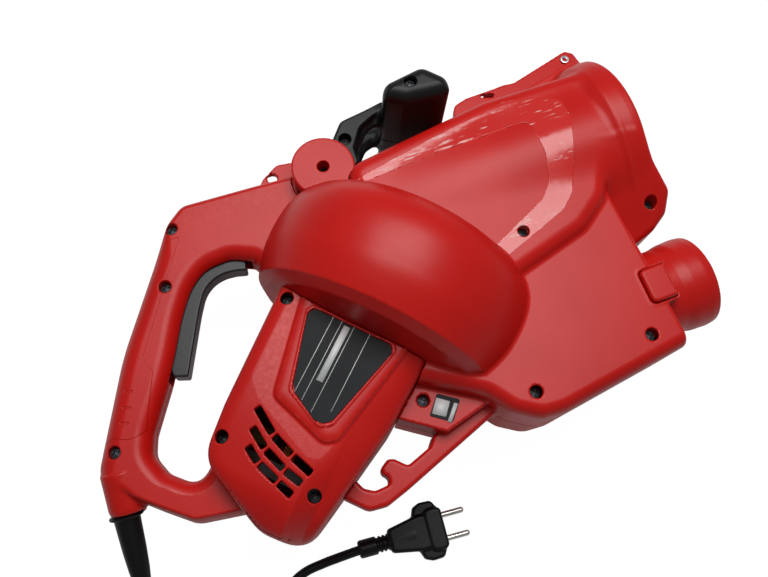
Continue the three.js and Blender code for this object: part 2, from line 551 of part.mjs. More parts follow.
/** Wheel of straight radial vanes on a back plate, bored for the shaft. */
function fanWheel({ back, tip, radius, hub, vanes, thickness }) {
  const plate = onShaft(back, back + thickness, SHAFT.radius + 0.2, radius, 28);
  const boss = onShaft(back, tip - 6, SHAFT.radius + 0.2, hub, 14);
  const reach = [SHAFT_OFFSET + hub - 2, SHAFT_OFFSET + radius - 1];
  const vane = motorBlock([back + 1, tip], reach, [-thickness / 2, thickness / 2]);
  const blades = Array.from({ length: vanes }, (_, i) => rotated(vane, (i / vanes) * 2 * Math.PI));
  return united([plate, boss, ...blades]);
}

addPiece('motor_shaft', rod(-127.5, 44, SHAFT.radius, shaftPoint, MOTOR_AXIS, 16), FINISH.steel);
const impeller = fanWheel({ back: 3, tip: 44, radius: 76, hub: 14, vanes: 8, thickness: 2.6 });
addPiece('impeller', impeller, FINISH.impellerPlastic);
addPiece('impeller_nut', rod(38.3, 43.3, 7, shaftPoint, MOTOR_AXIS, 6)
  .subtract(rod(38, 44, SHAFT.radius + 0.2, shaftPoint, MOTOR_AXIS, 20)), FINISH.steel);
const coolingFan = fanWheel({ back: -30, tip: -24, radius: 36, hub: 9, vanes: 8, thickness: 2 });
addPiece('cooling_fan', coolingFan, FINISH.impellerPlastic);
addPiece('armature_core', onShaft(-90, -46, SHAFT.radius + 0.2, 21, 18), FINISH.lamination);
addPiece('armature_winding', onShaft(-95.5, -90.3, SHAFT.radius + 0.2, 18, 16), FINISH.copper);
addPiece('commutator', onShaft(-112, -97, SHAFT.radius + 0.2, 13, 16), FINISH.copper);

// ---------------------------------------------------------------- motor parts that stand still
const stator = onShaft(-88, -48, 28, 40, 28);
addPiece('stator_core', stator, FINISH.lamination);
const saddle = onShaft(-96, -40, 22.6, 27.2, 28);
addPiece('field_coil_near', saddle.intersect(layer(8, FAR_REACH)), FINISH.copper);
addPiece('field_coil_far', saddle.intersect(layer(-FAR_REACH, -8)), FINISH.copper);
const besideShaft = (width) => [SHAFT_OFFSET - width, SHAFT_OFFSET + width];
const clipInside = COVER_FALL.height - WALL - GAP; // highest place below the cover's lowest flat wall
for (const [side, range] of [['far', [-clipInside, -41]], ['near', [41, clipInside]]]) {
  const clip = motorBlock([-80, -56], besideShaft(12), range).subtract(onShaft(-90, -46, 1, 40.4, 28));
  addPiece(`stator_clip_${side}`, clip, FINISH.nylon);
}
addPiece('bearing_front', onShaft(-19.4, -12.4, SHAFT.radius + 0.2, BEARING.outer, 16), FINISH.steel);
addPiece('bearing_rear', onShaft(-126.5, -119.5, SHAFT.radius + 0.2, BEARING.outer, 16), FINISH.steel);
const bracketEnds = [-130, -118.5];
const bracket = cut(motorBlock(bracketEnds, [-28.2, 54.5], [-15, 15]), coverScrewWells)
  .subtract(rod(-140, -119.2, BEARING.outer + 0.3, shaftPoint, MOTOR_AXIS, 16))
  .subtract(rod(-140, -100, SHAFT.radius + 3, shaftPoint, MOTOR_AXIS, 20));
addPiece('bearing_bracket', bracket, FINISH.nylon);
for (const [side, sign] of [['left', 1], ['right', -1]]) {
  const range = (near, far) => [SHAFT_OFFSET + sign * near, SHAFT_OFFSET + sign * far].sort((a, b) => a - b);
  const channel = motorBlock([-108.6, -100.4], range(10, 31), [-4, 4]);
  const holder = motorBlock([-111, -98], range(17, 34), [-6, 6]).subtract(channel);
  addPiece(`brush_holder_${side}`, holder, FINISH.brass);
  addPiece(`carbon_brush_${side}`, motorBlock([-108.2, -100.8], range(13.4, 29), [-3.6, 3.6]), FINISH.carbon);
}

// ---------------------------------------------------------------- trigger, switch and wiring in the handle
const triggerBody = cut(prism(TRIGGER_OUTLINE, -TRIGGER_HALF, TRIGGER_HALF, 1.2), [
  rod(-20, 20, TRIGGER_PIN.radius + 0.3, triggerPinPoint, AXIS_Z, 20),
  rod(-2.6, 2.6, 5.2, triggerPinPoint, AXIS_Z, 20),
]);
addPiece('trigger', triggerBody, FINISH.triggerPlastic);
addPiece('trigger_pin', rod(-11, 11, TRIGGER_PIN.radius, triggerPinPoint, AXIS_Z, 16), FINISH.steel);
const triggerSpring = collar(-2.2, 2.2, TRIGGER_PIN.radius + 0.3, 4.6, triggerPinPoint, AXIS_Z, 20);
addPiece('trigger_spring', triggerSpring, FINISH.steel);
addPiece('switch_body', prism(SWITCH_OUTLINE, -11, 11), FINISH.nylon);
addPiece('capacitor', rod(-11, 11, 7, [CAPACITOR.x, CAPACITOR.y, 0], AXIS_Z, 20), FINISH.nylon);
addPiece('terminal_block', prism(TERMINAL_OUTLINE, -7, 7), FINISH.nylon);

// ---------------------------------------------------------------- latch of the blow tube
const springPoint = [183, -79, 0];
const latchPad = prism(LATCH_OUTLINE, LATCH.low, LATCH.high, 1.8);
const springRoom = rod(LATCH.low - 2, LATCH.low + 3, 4.6, springPoint, AXIS_Z, 16);
addPiece('tube_latch', latchPad.subtract(springRoom), FINISH.redShell);
const latchSpring = collar(LATCH.floor + GAP, LATCH.low - GAP, 2.6, 4, springPoint, AXIS_Z, 16);
addPiece('latch_spring', latchSpring, FINISH.steel);

// ---------------------------------------------------------------- front handle on its pivot
const arm = prism(ARM_OUTLINE, PIVOT.armLow, PIVOT.armHigh, 1.5)
  .add(rod(PIVOT.armLow, PIVOT.armHigh, PIVOT.disc - 1, pivotPoint, AXIS_Z, 32))
  .subtract(rod(0, 60, PIVOT.stem + 0.5, pivotPoint, AXIS_Z, 20));
const crossBar = prism(BAR_OUTLINE, -BAR.half, BAR.half, BAR.bevel);
const armWell = (x, y, seat) => rod(seat, 90, 4, [x, y, 0], AXIS_Z, 14);
const nearArm = cut(arm.add(nearHalf(crossBar)), [armWell(...HANDLE_SCREW_AT, 58), armWell(12, 119, 19)]);
const farArm = arm.mirror([0, 0, 1]).add(farHalf(crossBar));
addPiece('front_handle_near', nearArm, FINISH.blackPlastic);
addPiece('front_handle_far', farArm, FINISH.blackPlastic);
addPiece('front_handle_screw', rod(58.2, 61, 3.4, [...HANDLE_SCREW_AT, 0], AXIS_Z, 14), FINISH.steel);

const shoulderRoomOutline = SHOULDER_OUTLINE.map(([x, y, r]) => [x - 0.6, y + 0.6, r]);
const shoulderRoom = prism(shoulderRoomOutline, -SHOULDER.half - 0.5, SHOULDER.half + 0.5, SHOULDER.bevel, 9);
const discProfile = [
  [PIVOT.armHigh + GAP, PIVOT.disc + 0.8], [PIVOT.face - 1.5, PIVOT.disc], [PIVOT.face, PIVOT.disc - 1.2],
];
const disc = rod(PIVOT.boss + GAP, PIVOT.armHigh + 2, PIVOT.stem, pivotPoint, AXIS_Z, 16)
  .add(turned(discProfile, pivotPoint, AXIS_Z, 32));
const headWell = rod(PIVOT.armHigh - 4, 60, 4.6, pivotPoint, AXIS_Z, 20);
const discNear = cut(disc, [drumRoom, shoulderRoom, boltHole, headWell]);
addPiece('pivot_disc_near', discNear, FINISH.redShell);
addPiece('pivot_disc_far', discNear.mirror([0, 0, 1]), FINISH.redShell);
addPiece('pivot_bolt', rod(-24, PIVOT.armHigh - 3.6, PIVOT.bolt, pivotPoint, AXIS_Z, 14)
  .add(rod(PIVOT.armHigh - 3.7, PIVOT.armHigh - 0.4, 4.2, pivotPoint, AXIS_Z, 16)), FINISH.steel);
addPiece('pivot_nut', rod(-PIVOT.armHigh + 0.4, -PIVOT.armHigh + 3.7, 4.3, pivotPoint, AXIS_Z, 6)
  .subtract(rod(-PIVOT.armHigh, 0, PIVOT.bolt + 0.2, pivotPoint, AXIS_Z, 16)), FINISH.steel);

// ---------------------------------------------------------------- screws that show in their wells
/** Pan-head screw that sits on the seat of its well. */
function screw(name, [x, y, face]) {
  const seat = face - SCREW.depth + 0.2;
  const shank = rod(Math.max(seat - SCREW.length, -18), seat + 0.5, SCREW.shank, [x, y, 0], AXIS_Z, 6);
  addPiece(name, shank.add(rod(seat, seat + 2.6, SCREW.head, [x, y, 0], AXIS_Z, 10)), FINISH.steel);
}
HOUSING_SCREWS.forEach((place, i) => screw(`housing_screw_${i + 1}`, place));
COVER_SCREWS.forEach((place, i) => screw(`cover_screw_${i + 1}`, place));
const rivetPoint = [RIVET_AT.x, RIVET_AT.y, 0];
const rivet = collar(GAP - FLANGE_HALF, FLANGE_HALF + 1.4, 1.6, 2.6, rivetPoint, AXIS_Z, 16);
addPiece('flange_rivet', rivet, FINISH.steel);

// ---------------------------------------------------------------- mains lead
const GUARD_PROFILE = [
  [-9, CORD_RADIUS + GAP], [GUARD.length, CORD_RADIUS + GAP], [GUARD.length, GUARD.tip], [6.6, GUARD.root],
  [6.6, GUARD.collar], [4.2, GUARD.collar], [4.2, GUARD.neck], [-6, GUARD.neck], [-6, GUARD.flange],
  [-9, GUARD.flange],
];
addPiece('cord_guard', turnedRing(GUARD_PROFILE, cordExit, cordDirection, 20), FINISH.cordRubber);
const cordStart = new THREE.Vector3(...cordExit);
const alongCord = (along) => cordStart.clone().addScaledVector(cordDirection, along).toArray();
const cordTail = [-9, 10, 30].map(alongCord);
addPiece('mains_cord', bar([...cordTail, ...CORD_ROUTE], CORD_RADIUS, 8, 44), FINISH.cordRubber);

const plugMatrix = new THREE.Matrix4().makeRotationZ(PLUG.turn).setPosition(PLUG.x, PLUG.y, PLUG.z);
const placed = (body) => body.transform(plugMatrix.elements);
const boot = turned([[0, 5], [30, 6.6], [40, 7.6]], [0, 0, 0], AXIS_X, 20);
const plugBody = prism(PLUG_OUTLINE, -PLUG.half, PLUG.half, 3).add(boot);
const pins = [1, -1].map((side) => [side, [0, side * PLUG.spacing / 2, 0]]);
const pinHoles = pins.map(([, at]) => rod(60, 90, 2.7, at, AXIS_X, 16));
addPiece('plug_body', placed(cut(plugBody, pinHoles)), FINISH.cordRubber);
pins.forEach(([side, at]) => {
  const pin = turned([[60.4, 2.4], [88.2, 2.4], [89.6, 1.2]], at, AXIS_X, 14);
  addPiece(`plug_pin_${side > 0 ? 'left' : 'right'}`, placed(pin), FINISH.pinMetal);
});

export default machine;
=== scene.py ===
"""Corded blower power head, dressed round its packed construction model.

Sizes in the classes of the machine are millimetres in its own drawing: the two housing halves meet at
z = 0, +X runs along the air ducts towards their mouths and +Y towards the front handle. `to_row` carries
them into the shared frame, in metres. The moulded pieces are written as signed distances, negative
inside, and `skin` turns them into meshes. Turned pieces, screws, the lead and the print are built directly.
"""
import sys
import logging
import math
from dataclasses import dataclass
from enum import Enum
from functools import reduce
from typing import Callable, Mapping, Sequence

import bpy
import numpy as np
from mathutils import Matrix, Vector


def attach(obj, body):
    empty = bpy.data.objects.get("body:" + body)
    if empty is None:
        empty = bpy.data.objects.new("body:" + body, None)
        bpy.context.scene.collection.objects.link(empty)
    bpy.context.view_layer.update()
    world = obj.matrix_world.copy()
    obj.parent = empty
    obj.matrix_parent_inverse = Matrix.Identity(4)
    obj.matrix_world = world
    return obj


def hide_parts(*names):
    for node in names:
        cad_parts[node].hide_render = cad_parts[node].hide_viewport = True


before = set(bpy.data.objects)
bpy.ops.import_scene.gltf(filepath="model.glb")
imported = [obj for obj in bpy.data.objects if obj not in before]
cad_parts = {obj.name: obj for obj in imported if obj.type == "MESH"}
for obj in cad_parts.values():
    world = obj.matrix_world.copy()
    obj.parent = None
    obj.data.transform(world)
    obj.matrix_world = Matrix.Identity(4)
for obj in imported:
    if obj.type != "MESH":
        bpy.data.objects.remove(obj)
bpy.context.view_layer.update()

LOG = logging.getLogger("blower")

Array = np.ndarray
Spot = tuple[float, float]
Place = tuple[float, float, float]
Outline = Sequence[Place]
Field = Callable[[Array, Array, Array], Array]
Colour = tuple[float, float, float, float]

# ---------------------------------------------------------------- driving dimensions, in millimetres
MACHINE_AT = np.array([2.0, 7.0, 106.0])  # the drawing's origin in the shared frame
GAP = 0.3
MOTOR_TURN = math.radians(43.0)
DRUM_AT = (-21.0, -31.0)
SHAFT_OFFSET = 14.0
PIVOT_AT = (-14.0, 97.0)
INLET_Y, DUCT_Y, OUTLET_Y = 56.0, 50.0, -79.5
COVER_FACE = 54.0
SHOULDER_FACE = 52.0
CHAMBER_FACE = 44.0
GRIP_FACE = 19.0
POCKET_FACE = 25.0
LUG_FACE = 30.0
WALL = 2.8  # of the moulded shells
WELL_RADIUS, WELL_DEPTH = 4.7, 9.0  # of the wells that the screws sit in
OPEN = 400.0  # far beyond the machine
SOFT = 300.0  # corner radius that takes each arc up to the middle of its sides
PANEL_SHIFT = 10.0  # added to stored panel distances, so that a missing one reads as far away
BEND_STEP = 1.2  # how far from a vertex its bend is read
MOST_BEND = 2.0  # the strongest bend that is stored


class Body(Enum):
    """The bodies that the joints move."""

    HOUSING = "housing"
    TRIGGER = "trigger"
    FRONT_HANDLE = "front_handle"
    TUBE_LATCH = "tube_latch"


class Slot(Enum):
    """The record's material slots."""

    RED = "red_shell"
    BLACK = "black_plastic"
    TRIGGER = "trigger_plastic"
    FAN = "fan_plastic"
    NYLON = "nylon"
    CARBON = "carbon"
    PLATE = "plate_foil"
    LABEL = "label_foil"
    STEEL = "screw_steel"
    LAMINATION = "lamination"
    COPPER = "copper"
    BRASS = "brass"
    RUBBER = "cord_rubber"
    PIN = "pin_metal"


class Side(Enum):
    """The two sides of the plane on which the halves meet, as piece names spell them."""

    NEAR = "near"
    FAR = "far"

    def height(self, z: Array) -> Array:
        """Height above that plane, on this side."""
        return z if self is Side.NEAR else -z

    def span(self, low: float, high: float) -> Spot:
        """Range of z for a range of heights on this side."""
        return (low, high) if self is Side.NEAR else (-high, -low)


def to_row(points: Array) -> Array:
    """Carries drawing points in millimetres into the shared frame in metres."""
    return (np.asarray(points, float) + MACHINE_AT) / 1000.0


def motor_point(along: float, across: float) -> Spot:
    """Plan point at a distance along the motor axis and across it, from the drum's centre."""
    c, s = math.cos(MOTOR_TURN), math.sin(MOTOR_TURN)
    return DRUM_AT[0] + along * c - across * s, DRUM_AT[1] + along * s + across * c


def motor_outline(points: Outline) -> list[Place]:
    """Turns [along, across, radius] corners into plan corners."""
    return [(*motor_point(along, across), radius) for along, across, radius in points]


def grown(points: Outline, width: float) -> list[Place]:
    """Outline moved outwards from its own middle by a width on each side."""
    middle = np.mean([p[:2] for p in points], axis=0)
    return [(*(np.array(p[:2]) + np.sign(np.array(p[:2]) - middle) * width), p[2]) for p in points]


def moved(points: Outline, x: float, y: float) -> list[Place]:
    """Outline carried by a step in plan."""
    return [(px + x, py + y, radius) for px, py, radius in points]


def passed(value: Array, start: float, end: float) -> Array:
    """Share of the way from start to end that a value has gone, from 0 to 1."""
    return np.clip((value - start) / (end - start), 0, 1)


def along_across(x: Array, y: Array, at: Sequence[float], turn: float) -> tuple[Array, Array]:
    """Ways along and across a level direction, from a point in plan.

    Args:
        x: plan coordinates.
        y: plan coordinates.
        at: the point.
        turn: angle of the direction from +X.

    Returns:
        Both ways, across to the left of along.
    """
    c, s = math.cos(turn), math.sin(turn)
    dx, dy = x - at[0], y - at[1]
    return dx * c + dy * s, dy * c - dx * s


# ---------------------------------------------------------------- outlines and distance fields
def rounded(points: Outline, least: float = 0.0, steps: int = 7) -> Array:
    """Closed outline whose corners are quadratic arcs that start at radius / tan(half angle) from the corner.

    Args:
        points: corners as (x, y, radius).
        least: smallest radius used at any corner.
        steps: chords in each arc.

    Returns:
        An array of points, shape (n, 2).
    """
    corners = np.array([p[:2] for p in points], float)
    radii = np.maximum([p[2] for p in points], least)
    t = np.linspace(0.0, 1.0, steps + 1)[:, None]
    arcs = []
    for i, corner in enumerate(corners):
        before = corners[i - 1] - corner
        after = corners[(i + 1) % len(corners)] - corner
        long_b, long_a = np.linalg.norm(before), np.linalg.norm(after)
        half = math.acos(np.clip(before @ after / long_b / long_a, -1, 1)) / 2
        reach = min(radii[i] / max(math.tan(half), 1e-6), 0.48 * long_b, 0.48 * long_a)
        start, end = corner + before / long_b * reach, corner + after / long_a * reach
        arcs.append((1 - t) ** 2 * start + 2 * t * (1 - t) * corner + t**2 * end)
    return np.vstack(arcs)


def outline_distance(u: Array, v: Array, outline: Array) -> Array:
    """Signed distance to a closed outline, negative inside by the crossing rule.

    Args:
        u: first coordinates.
        v: second coordinates, which broadcast against the first.
        outline: corners in order, shape (n, 2).

    Returns:
        The least distance to a side, with its sign.
    """
    nearest = np.full(np.broadcast(u, v).shape, 1e9, np.float32)
    inside = np.zeros(nearest.shape, bool)
    for (ax, ay), (bx, by) in zip(outline, np.roll(outline, -1, axis=0)):
        ex, ey = bx - ax, by - ay
        if ex * ex + ey * ey < 1e-12:
            continue
        wu, wv = u - ax, v - ay
        t = np.clip((wu * ex + wv * ey) / (ex * ex + ey * ey), 0, 1)
        nearest = np.minimum(nearest, (wu - ex * t) ** 2 + (wv - ey * t) ** 2)
        if ey:
            inside ^= ((v >= ay) != (v >= by)) & (wu < ex * wv / ey)
    return np.where(inside, -1.0, 1.0) * np.sqrt(nearest)


class DistanceTable:
    """Signed distance to an outline on a square grid, read back by bilinear interpolation."""

    def __init__(self, outline: Array, margin: float = 24.0) -> None:
        """Fills the table over the outline's box grown by a margin, at a pitch that suits its size.

        Args:
            outline: points of the closed outline.
            margin: most that the box is grown by.
        """
        span = float((outline.max(0) - outline.min(0)).max())
        self.pitch = min(max(span / 200.0, 0.2), 0.9)
        margin = min(margin, 4 + span)
        self.low = outline.min(0) - margin
        size = np.ceil((outline.max(0) + margin - self.low) / self.pitch).astype(int) + 1
        u = (self.low[0] + self.pitch * np.arange(size[0])).astype(np.float32)
        v = (self.low[1] + self.pitch * np.arange(size[1])).astype(np.float32)
        self.table = outline_distance(u[:, None], v[None, :], outline).astype(np.float32)

    def __call__(self, u: Array, v: Array) -> Array:
        """Distance at (u, v); beyond the table, the edge value plus the way to the table.

        Args:
            u: first coordinates.
            v: second coordinates.

        Returns:
            Distance at each pair.
        """
        nu, nv = self.table.shape
        fu, fv = (u - self.low[0]) / self.pitch, (v - self.low[1]) / self.pitch
        cu, cv = np.clip(fu, 0, nu - 1.001), np.clip(fv, 0, nv - 1.001)
        beyond = np.hypot(fu - cu, fv - cv) * self.pitch
        iu, iv = cu.astype(np.int32), cv.astype(np.int32)
        tu, tv = (cu - iu).astype(np.float32), (cv - iv).astype(np.float32)
        flat = self.table.ravel()
        at = iu * nv + iv
        low = flat[at] * (1 - tv) + flat[at + 1] * tv
        high = flat[at + nv] * (1 - tv) + flat[at + nv + 1] * tv
        return low * (1 - tu) + high * tu + beyond.astype(np.float32)


def join(a: Array, b: Array, blend: float = 2.5) -> Array:
    """Smooth union: the lesser distance, less h * h * blend / 4.

    Here h rises from 0, where the two differ by blend, to 1, where they are equal.

    Args:
        a: distance of one body.
        b: distance of the other.
        blend: how far apart the two distances are where the fillet starts.

    Returns:
        The distance of the union.
    """
    h = np.maximum(blend - np.abs(a - b), 0) / blend
    return np.minimum(a, b) - h * h * (blend / 4)


def carve(a: Array, b: Array, blend: float = 1.5) -> Array:
    """Smooth cut: what of a lies outside b, with its new edge softened over blend."""
    return -join(-a, b, blend)


def rounded_corner(side: Array, level: Array, edge: float) -> Array:
    """Distance to a rim rounded to a quarter circle, from the distances to its side and to its face.

    Args:
        side: distance to the side.
        level: distance to the face.
        edge: radius of the rim.

    Returns:
        The distance to the rounded body.
    """
    side, level = side + edge, level + edge
    outside = np.hypot(np.maximum(side, 0), np.maximum(level, 0))
    return outside + np.minimum(np.maximum(side, level), 0) - edge


def union(*bodies: Field) -> Field:
    """Bodies taken together, without a fillet."""

    def distance(x: Array, y: Array, z: Array) -> Array:
        """Signed distance to the nearest body."""
        return reduce(np.minimum, (body(x, y, z) for body in bodies))

    return distance


def prism(outline: Outline, low: float, high: float, edge: float = 1.0, drop: float = 0.0) -> Field:
    """Upright prism whose rims are quarter rounds, or quarter ellipses drop tall.

    Args:
        outline: plan corners.
        low: height of the underside.
        high: height of the upper face.
        edge: radius of the rims in plan.
        drop: height of the rims; 0 takes the radius.

    Returns:
        The signed distance of the rounded prism.
    """
    table = DistanceTable(rounded(outline, least=edge + 0.5))
    stretch = drop / edge if drop else 1.0

    def distance(x: Array, y: Array, z: Array) -> Array:
        """Signed distance at the points."""
        return rounded_corner(table(x, y), np.maximum(low - z, z - high) / stretch, edge)

    return distance


def profile_table(profile: Outline) -> DistanceTable:
    """Table of (along, radius) for a turned body, its profile closed well beyond the axis."""
    beyond = -40.0
    return DistanceTable(rounded([(profile[0][0], beyond, 0.0), *profile, (profile[-1][0], beyond, 0.0)]))


def lathe(profile: Outline, at: Spot, turn: float = 0.0) -> Field:
    """Body turned about a level axis in the plane z = 0.

    Args:
        profile: rows of (along, radius, corner radius).
        at: plan point from which the ways along are counted.
        turn: angle of the axis from +X.

    Returns:
        The signed distance of the turned body.
    """
    table = profile_table(profile)

    def distance(x: Array, y: Array, z: Array) -> Array:
        """Signed distance at the points."""
        along, across = along_across(x, y, at, turn)
        return table(along, np.hypot(across, z))

    return distance


def spindle(profile: Outline, at: Place, direction: Place) -> Field:
    """Body turned about a slanted axis.

    Args:
        profile: rows of (along, radius, corner radius).
        at: point on the axis from which the ways along are counted.
        direction: the axis, of any length.

    Returns:
        The signed distance of the turned body.
    """
    table = profile_table(profile)
    ax, ay, az = np.array(direction) / np.linalg.norm(direction)

    def distance(x: Array, y: Array, z: Array) -> Array:
        """Signed distance at the points."""
        dx, dy, dz = x - at[0], y - at[1], z - at[2]
        along = dx * ax + dy * ay + dz * az
        return table(along, np.sqrt(np.maximum(dx * dx + dy * dy + dz * dz - along * along, 0)))

    return distance


def pillar(at: Spot, radius: float, low: float, high: float, edge: float = 0.6) -> Field:
    """Upright round post or, for a cut, a well.

    Args:
        at: its middle in plan.
        radius: its radius.
        low: height of its underside.
        high: height of its top.
        edge: radius of its rims.

    Returns:
        The signed distance.
    """

    def distance(x: Array, y: Array, z: Array) -> Array:
        """Signed distance at the points."""
        return rounded_corner(np.hypot(x - at[0], y - at[1]) - radius, np.maximum(low - z, z - high), edge)

    return distance


def wells(places: Sequence[Place], radius: float, depth: float) -> Field:
    """Round wells open upwards, each sunk to a depth below the face named as its third number.

    Args:
        places: middle of each well and the height of the face it is sunk from.
        radius: their radius.
        depth: their depth.

    Returns:
        The signed distance.
    """

    def distance(x: Array, y: Array, z: Array) -> Array:
        """Signed distance to the nearest well."""
        sides = np.stack([np.hypot(x - px, y - py) - radius for px, py, _ in places])
        seats = np.array([face - depth for _, _, face in places])[sides.argmin(0)]
        return rounded_corner(sides.min(0), seats - z, 0.5)

    return distance


def corner_values(values: Array, cells: Array) -> Array:
    """Field values at the eight corners of each cell, in x, y, z bit order, shape (n, 8).

    Args:
        values: the field on the grid.
        cells: lowest corner of each cell.

    Returns:
        One row of eight for each cell.
    """
    i, j, k = cells.T
    corners = [values[i + (c & 1), j + ((c >> 1) & 1), k + (c >> 2)] for c in range(8)]
    return np.stack(corners, axis=1)


@dataclass
class Skin:
    """Vertices in drawing millimetres, faces, and a normal for each vertex."""

    points: Array
    faces: Array
    normals: Array


def gradient(distance: Field, points: Array, step: float) -> tuple[Array, Array, Array]:
    """Value, gradient and bend of a field at points, by central differences.

    The bend is the sum of the six neighbours less six times the middle, over step squared: positive on
    outer edges, negative in inner corners.

    Args:
        distance: the field.
        points: where it is read, shape (n, 3).
        step: how far the neighbours stand off.

    Returns:
        Values (n), gradients (n, 3) and bends (n).
    """
    x, y, z = points.astype(np.float32).T
    middle = distance(x, y, z)
    slopes, total = [], -6 * middle
    for dx, dy, dz in np.eye(3) * step:
        above, below = distance(x + dx, y + dy, z + dz), distance(x - dx, y - dy, z - dz)
        slopes.append((above - below) / (2 * step))
        total = total + above + below
    return middle, np.stack(slopes, axis=1), total / step**2


def surface_net(distance: Field, low: Sequence[float], high: Sequence[float],
                cell: float) -> tuple[Array, Array]:
    """Surface net of a distance field.

    Each grid cell that the surface crosses gets one vertex at the mean of its edge crossings, and each grid
    edge that changes sign gets one quad between its four cells.

    Args:
        distance: signed distance, negative inside, of broadcast x, y, z arrays.
        low: lowest corner of the region.
        high: highest corner of the region.
        cell: grid pitch.

    Returns:
        Points and quads.
    """
    low = np.asarray(low, float)
    counts = np.ceil((np.asarray(high, float) - low) / cell).astype(int) + 1
    x, y, z = ((low[a] + cell * np.arange(counts[a])).astype(np.float32) for a in range(3))
    values = distance(x[:, None, None], y[None, :, None], z[None, None, :]).astype(np.float32)
    values = np.ascontiguousarray(np.broadcast_to(values, tuple(counts)))
    inside = values < 0
    tally = np.zeros(tuple(counts - 1), np.uint8)
    for c in range(8):
        a, b, d = c & 1, (c >> 1) & 1, c >> 2
        tally += inside[a : a + counts[0] - 1, b : b + counts[1] - 1, d : d + counts[2] - 1]
    cells = np.argwhere((tally > 0) & (tally < 8))
    number = np.full(tuple(counts - 1), -1, np.int32)
    number[tuple(cells.T)] = np.arange(len(cells))
    corners = corner_values(values, cells).astype(float)
    total, hits = np.zeros((len(cells), 3)), np.zeros(len(cells))
    for a in range(8):
        for axis in range(3):
            b = a | (1 << axis)
            if a == b:
                continue
            crossed = (corners[:, a] < 0) != (corners[:, b] < 0)
            t = np.where(crossed, corners[:, a] / np.where(crossed, corners[:, a] - corners[:, b], 1), 0)
            place = np.array([a & 1, (a >> 1) & 1, a >> 2], float)
            total += np.where(crossed[:, None], place + t[:, None] * np.eye(3)[axis], 0)
            hits += crossed
    quads = []
    for axis in range(3):
        u, v = (axis + 1) % 3, (axis + 2) % 3
        a, b = [slice(None)] * 3, [slice(None)] * 3
        a[axis], b[axis] = slice(0, -1), slice(1, None)
        edges = np.argwhere(inside[tuple(a)] != inside[tuple(b)])
        edges = edges[(edges[:, u] > 0) & (edges[:, v] > 0)]
        edges = edges[(edges[:, u] < counts[u] - 1) & (edges[:, v] < counts[v] - 1)]
        ring = []
        for du, dv in ((1, 1), (0, 1), (0, 0), (1, 0)):
            place = edges.copy()
            place[:, u] -= du
            place[:, v] -= dv
            ring.append(number[tuple(place.T)])
        ring = np.stack(ring, axis=1)
        entering = ~inside[tuple(edges.T)]
        ring[entering] = ring[entering][:, ::-1]
        quads.append(ring)
    return low + (cells + total / hits[:, None]) * cell, np.vstack(quads)


def thinned(points: Array, quads: Array, triangles: int) -> tuple[Array, Array]:
    """Collapses a dense surface, where it is flat first.

    Args:
        points: its vertices.
        quads: its faces.
        triangles: how many triangles are kept.

    Returns:
        Points and triangles.
    """
    mesh = bpy.data.meshes.new("dense")
    mesh.from_pydata(points, [], quads)
    carrier = bpy.data.objects.new("dense", mesh)
    bpy.context.scene.collection.objects.link(carrier)
    collapse = carrier.modifiers.new("thin", "DECIMATE")
    collapse.ratio = triangles / (2 * len(quads))
    collapse.use_collapse_triangulate = True
    result = carrier.evaluated_get(bpy.context.evaluated_depsgraph_get()).to_mesh()
    kept = np.zeros(3 * len(result.vertices))
    result.vertices.foreach_get("co", kept)
    corners = np.zeros(len(result.loops), np.int32)
    result.loops.foreach_get("vertex_index", corners)
    carrier.to_mesh_clear()
    bpy.data.objects.remove(carrier)
    bpy.data.meshes.remove(mesh)
    return kept.reshape(-1, 3), corners.reshape(-1, 3)


def skin(distance: Field, low: Sequence[float], high: Sequence[float], cell: float,
         triangles: int = 0) -> Skin:
    """Smooth closed surface of a distance field.

    The surface net is thinned, its vertices step along the gradient by value / gradient onto the zero level,
    and each vertex takes the gradient's direction as its normal.

    Args:
        distance: signed distance, negative inside.
        low: lowest corner of the region.
        high: highest corner of the region.
        cell: grid pitch.
        triangles: most triangles kept; 0 keeps all the quads.

    Returns:
        The surface.
    """
    points, faces = surface_net(distance, low, high, cell)
    if triangles and 2 * len(faces) > triangles:
        points, faces = thinned(points, faces, triangles)
    for _ in range(2):
        value, slope, _ = gradient(distance, points, 0.15 * cell)
        size = np.maximum((slope**2).sum(1), 0.3)
        points = points - np.clip(value / size, -0.5 * cell, 0.5 * cell)[:, None] * slope
    _, slope, _ = gradient(distance, points, 0.3 * cell)
    return Skin(points, faces, slope / np.maximum(np.linalg.norm(slope, axis=1), 1e-6)[:, None])


def grid_faces(rows: int, columns: int, wrap: bool = False) -> Array:
    """Quads between the neighbours of a grid of points; wrap joins the last column to the first.

    Args:
        rows: rows of points.
        columns: points in each row.
        wrap: whether the rows are closed rings.

    Returns:
        Point numbers, shape (n, 4).
    """
    i, j = np.meshgrid(np.arange(rows - 1), np.arange(columns if wrap else columns - 1), indexing="ij")
    k = (j + 1) % columns
    corners = (i * columns + j, i * columns + k, (i + 1) * columns + k, (i + 1) * columns + j)
    return np.stack(corners, -1).reshape(-1, 4)


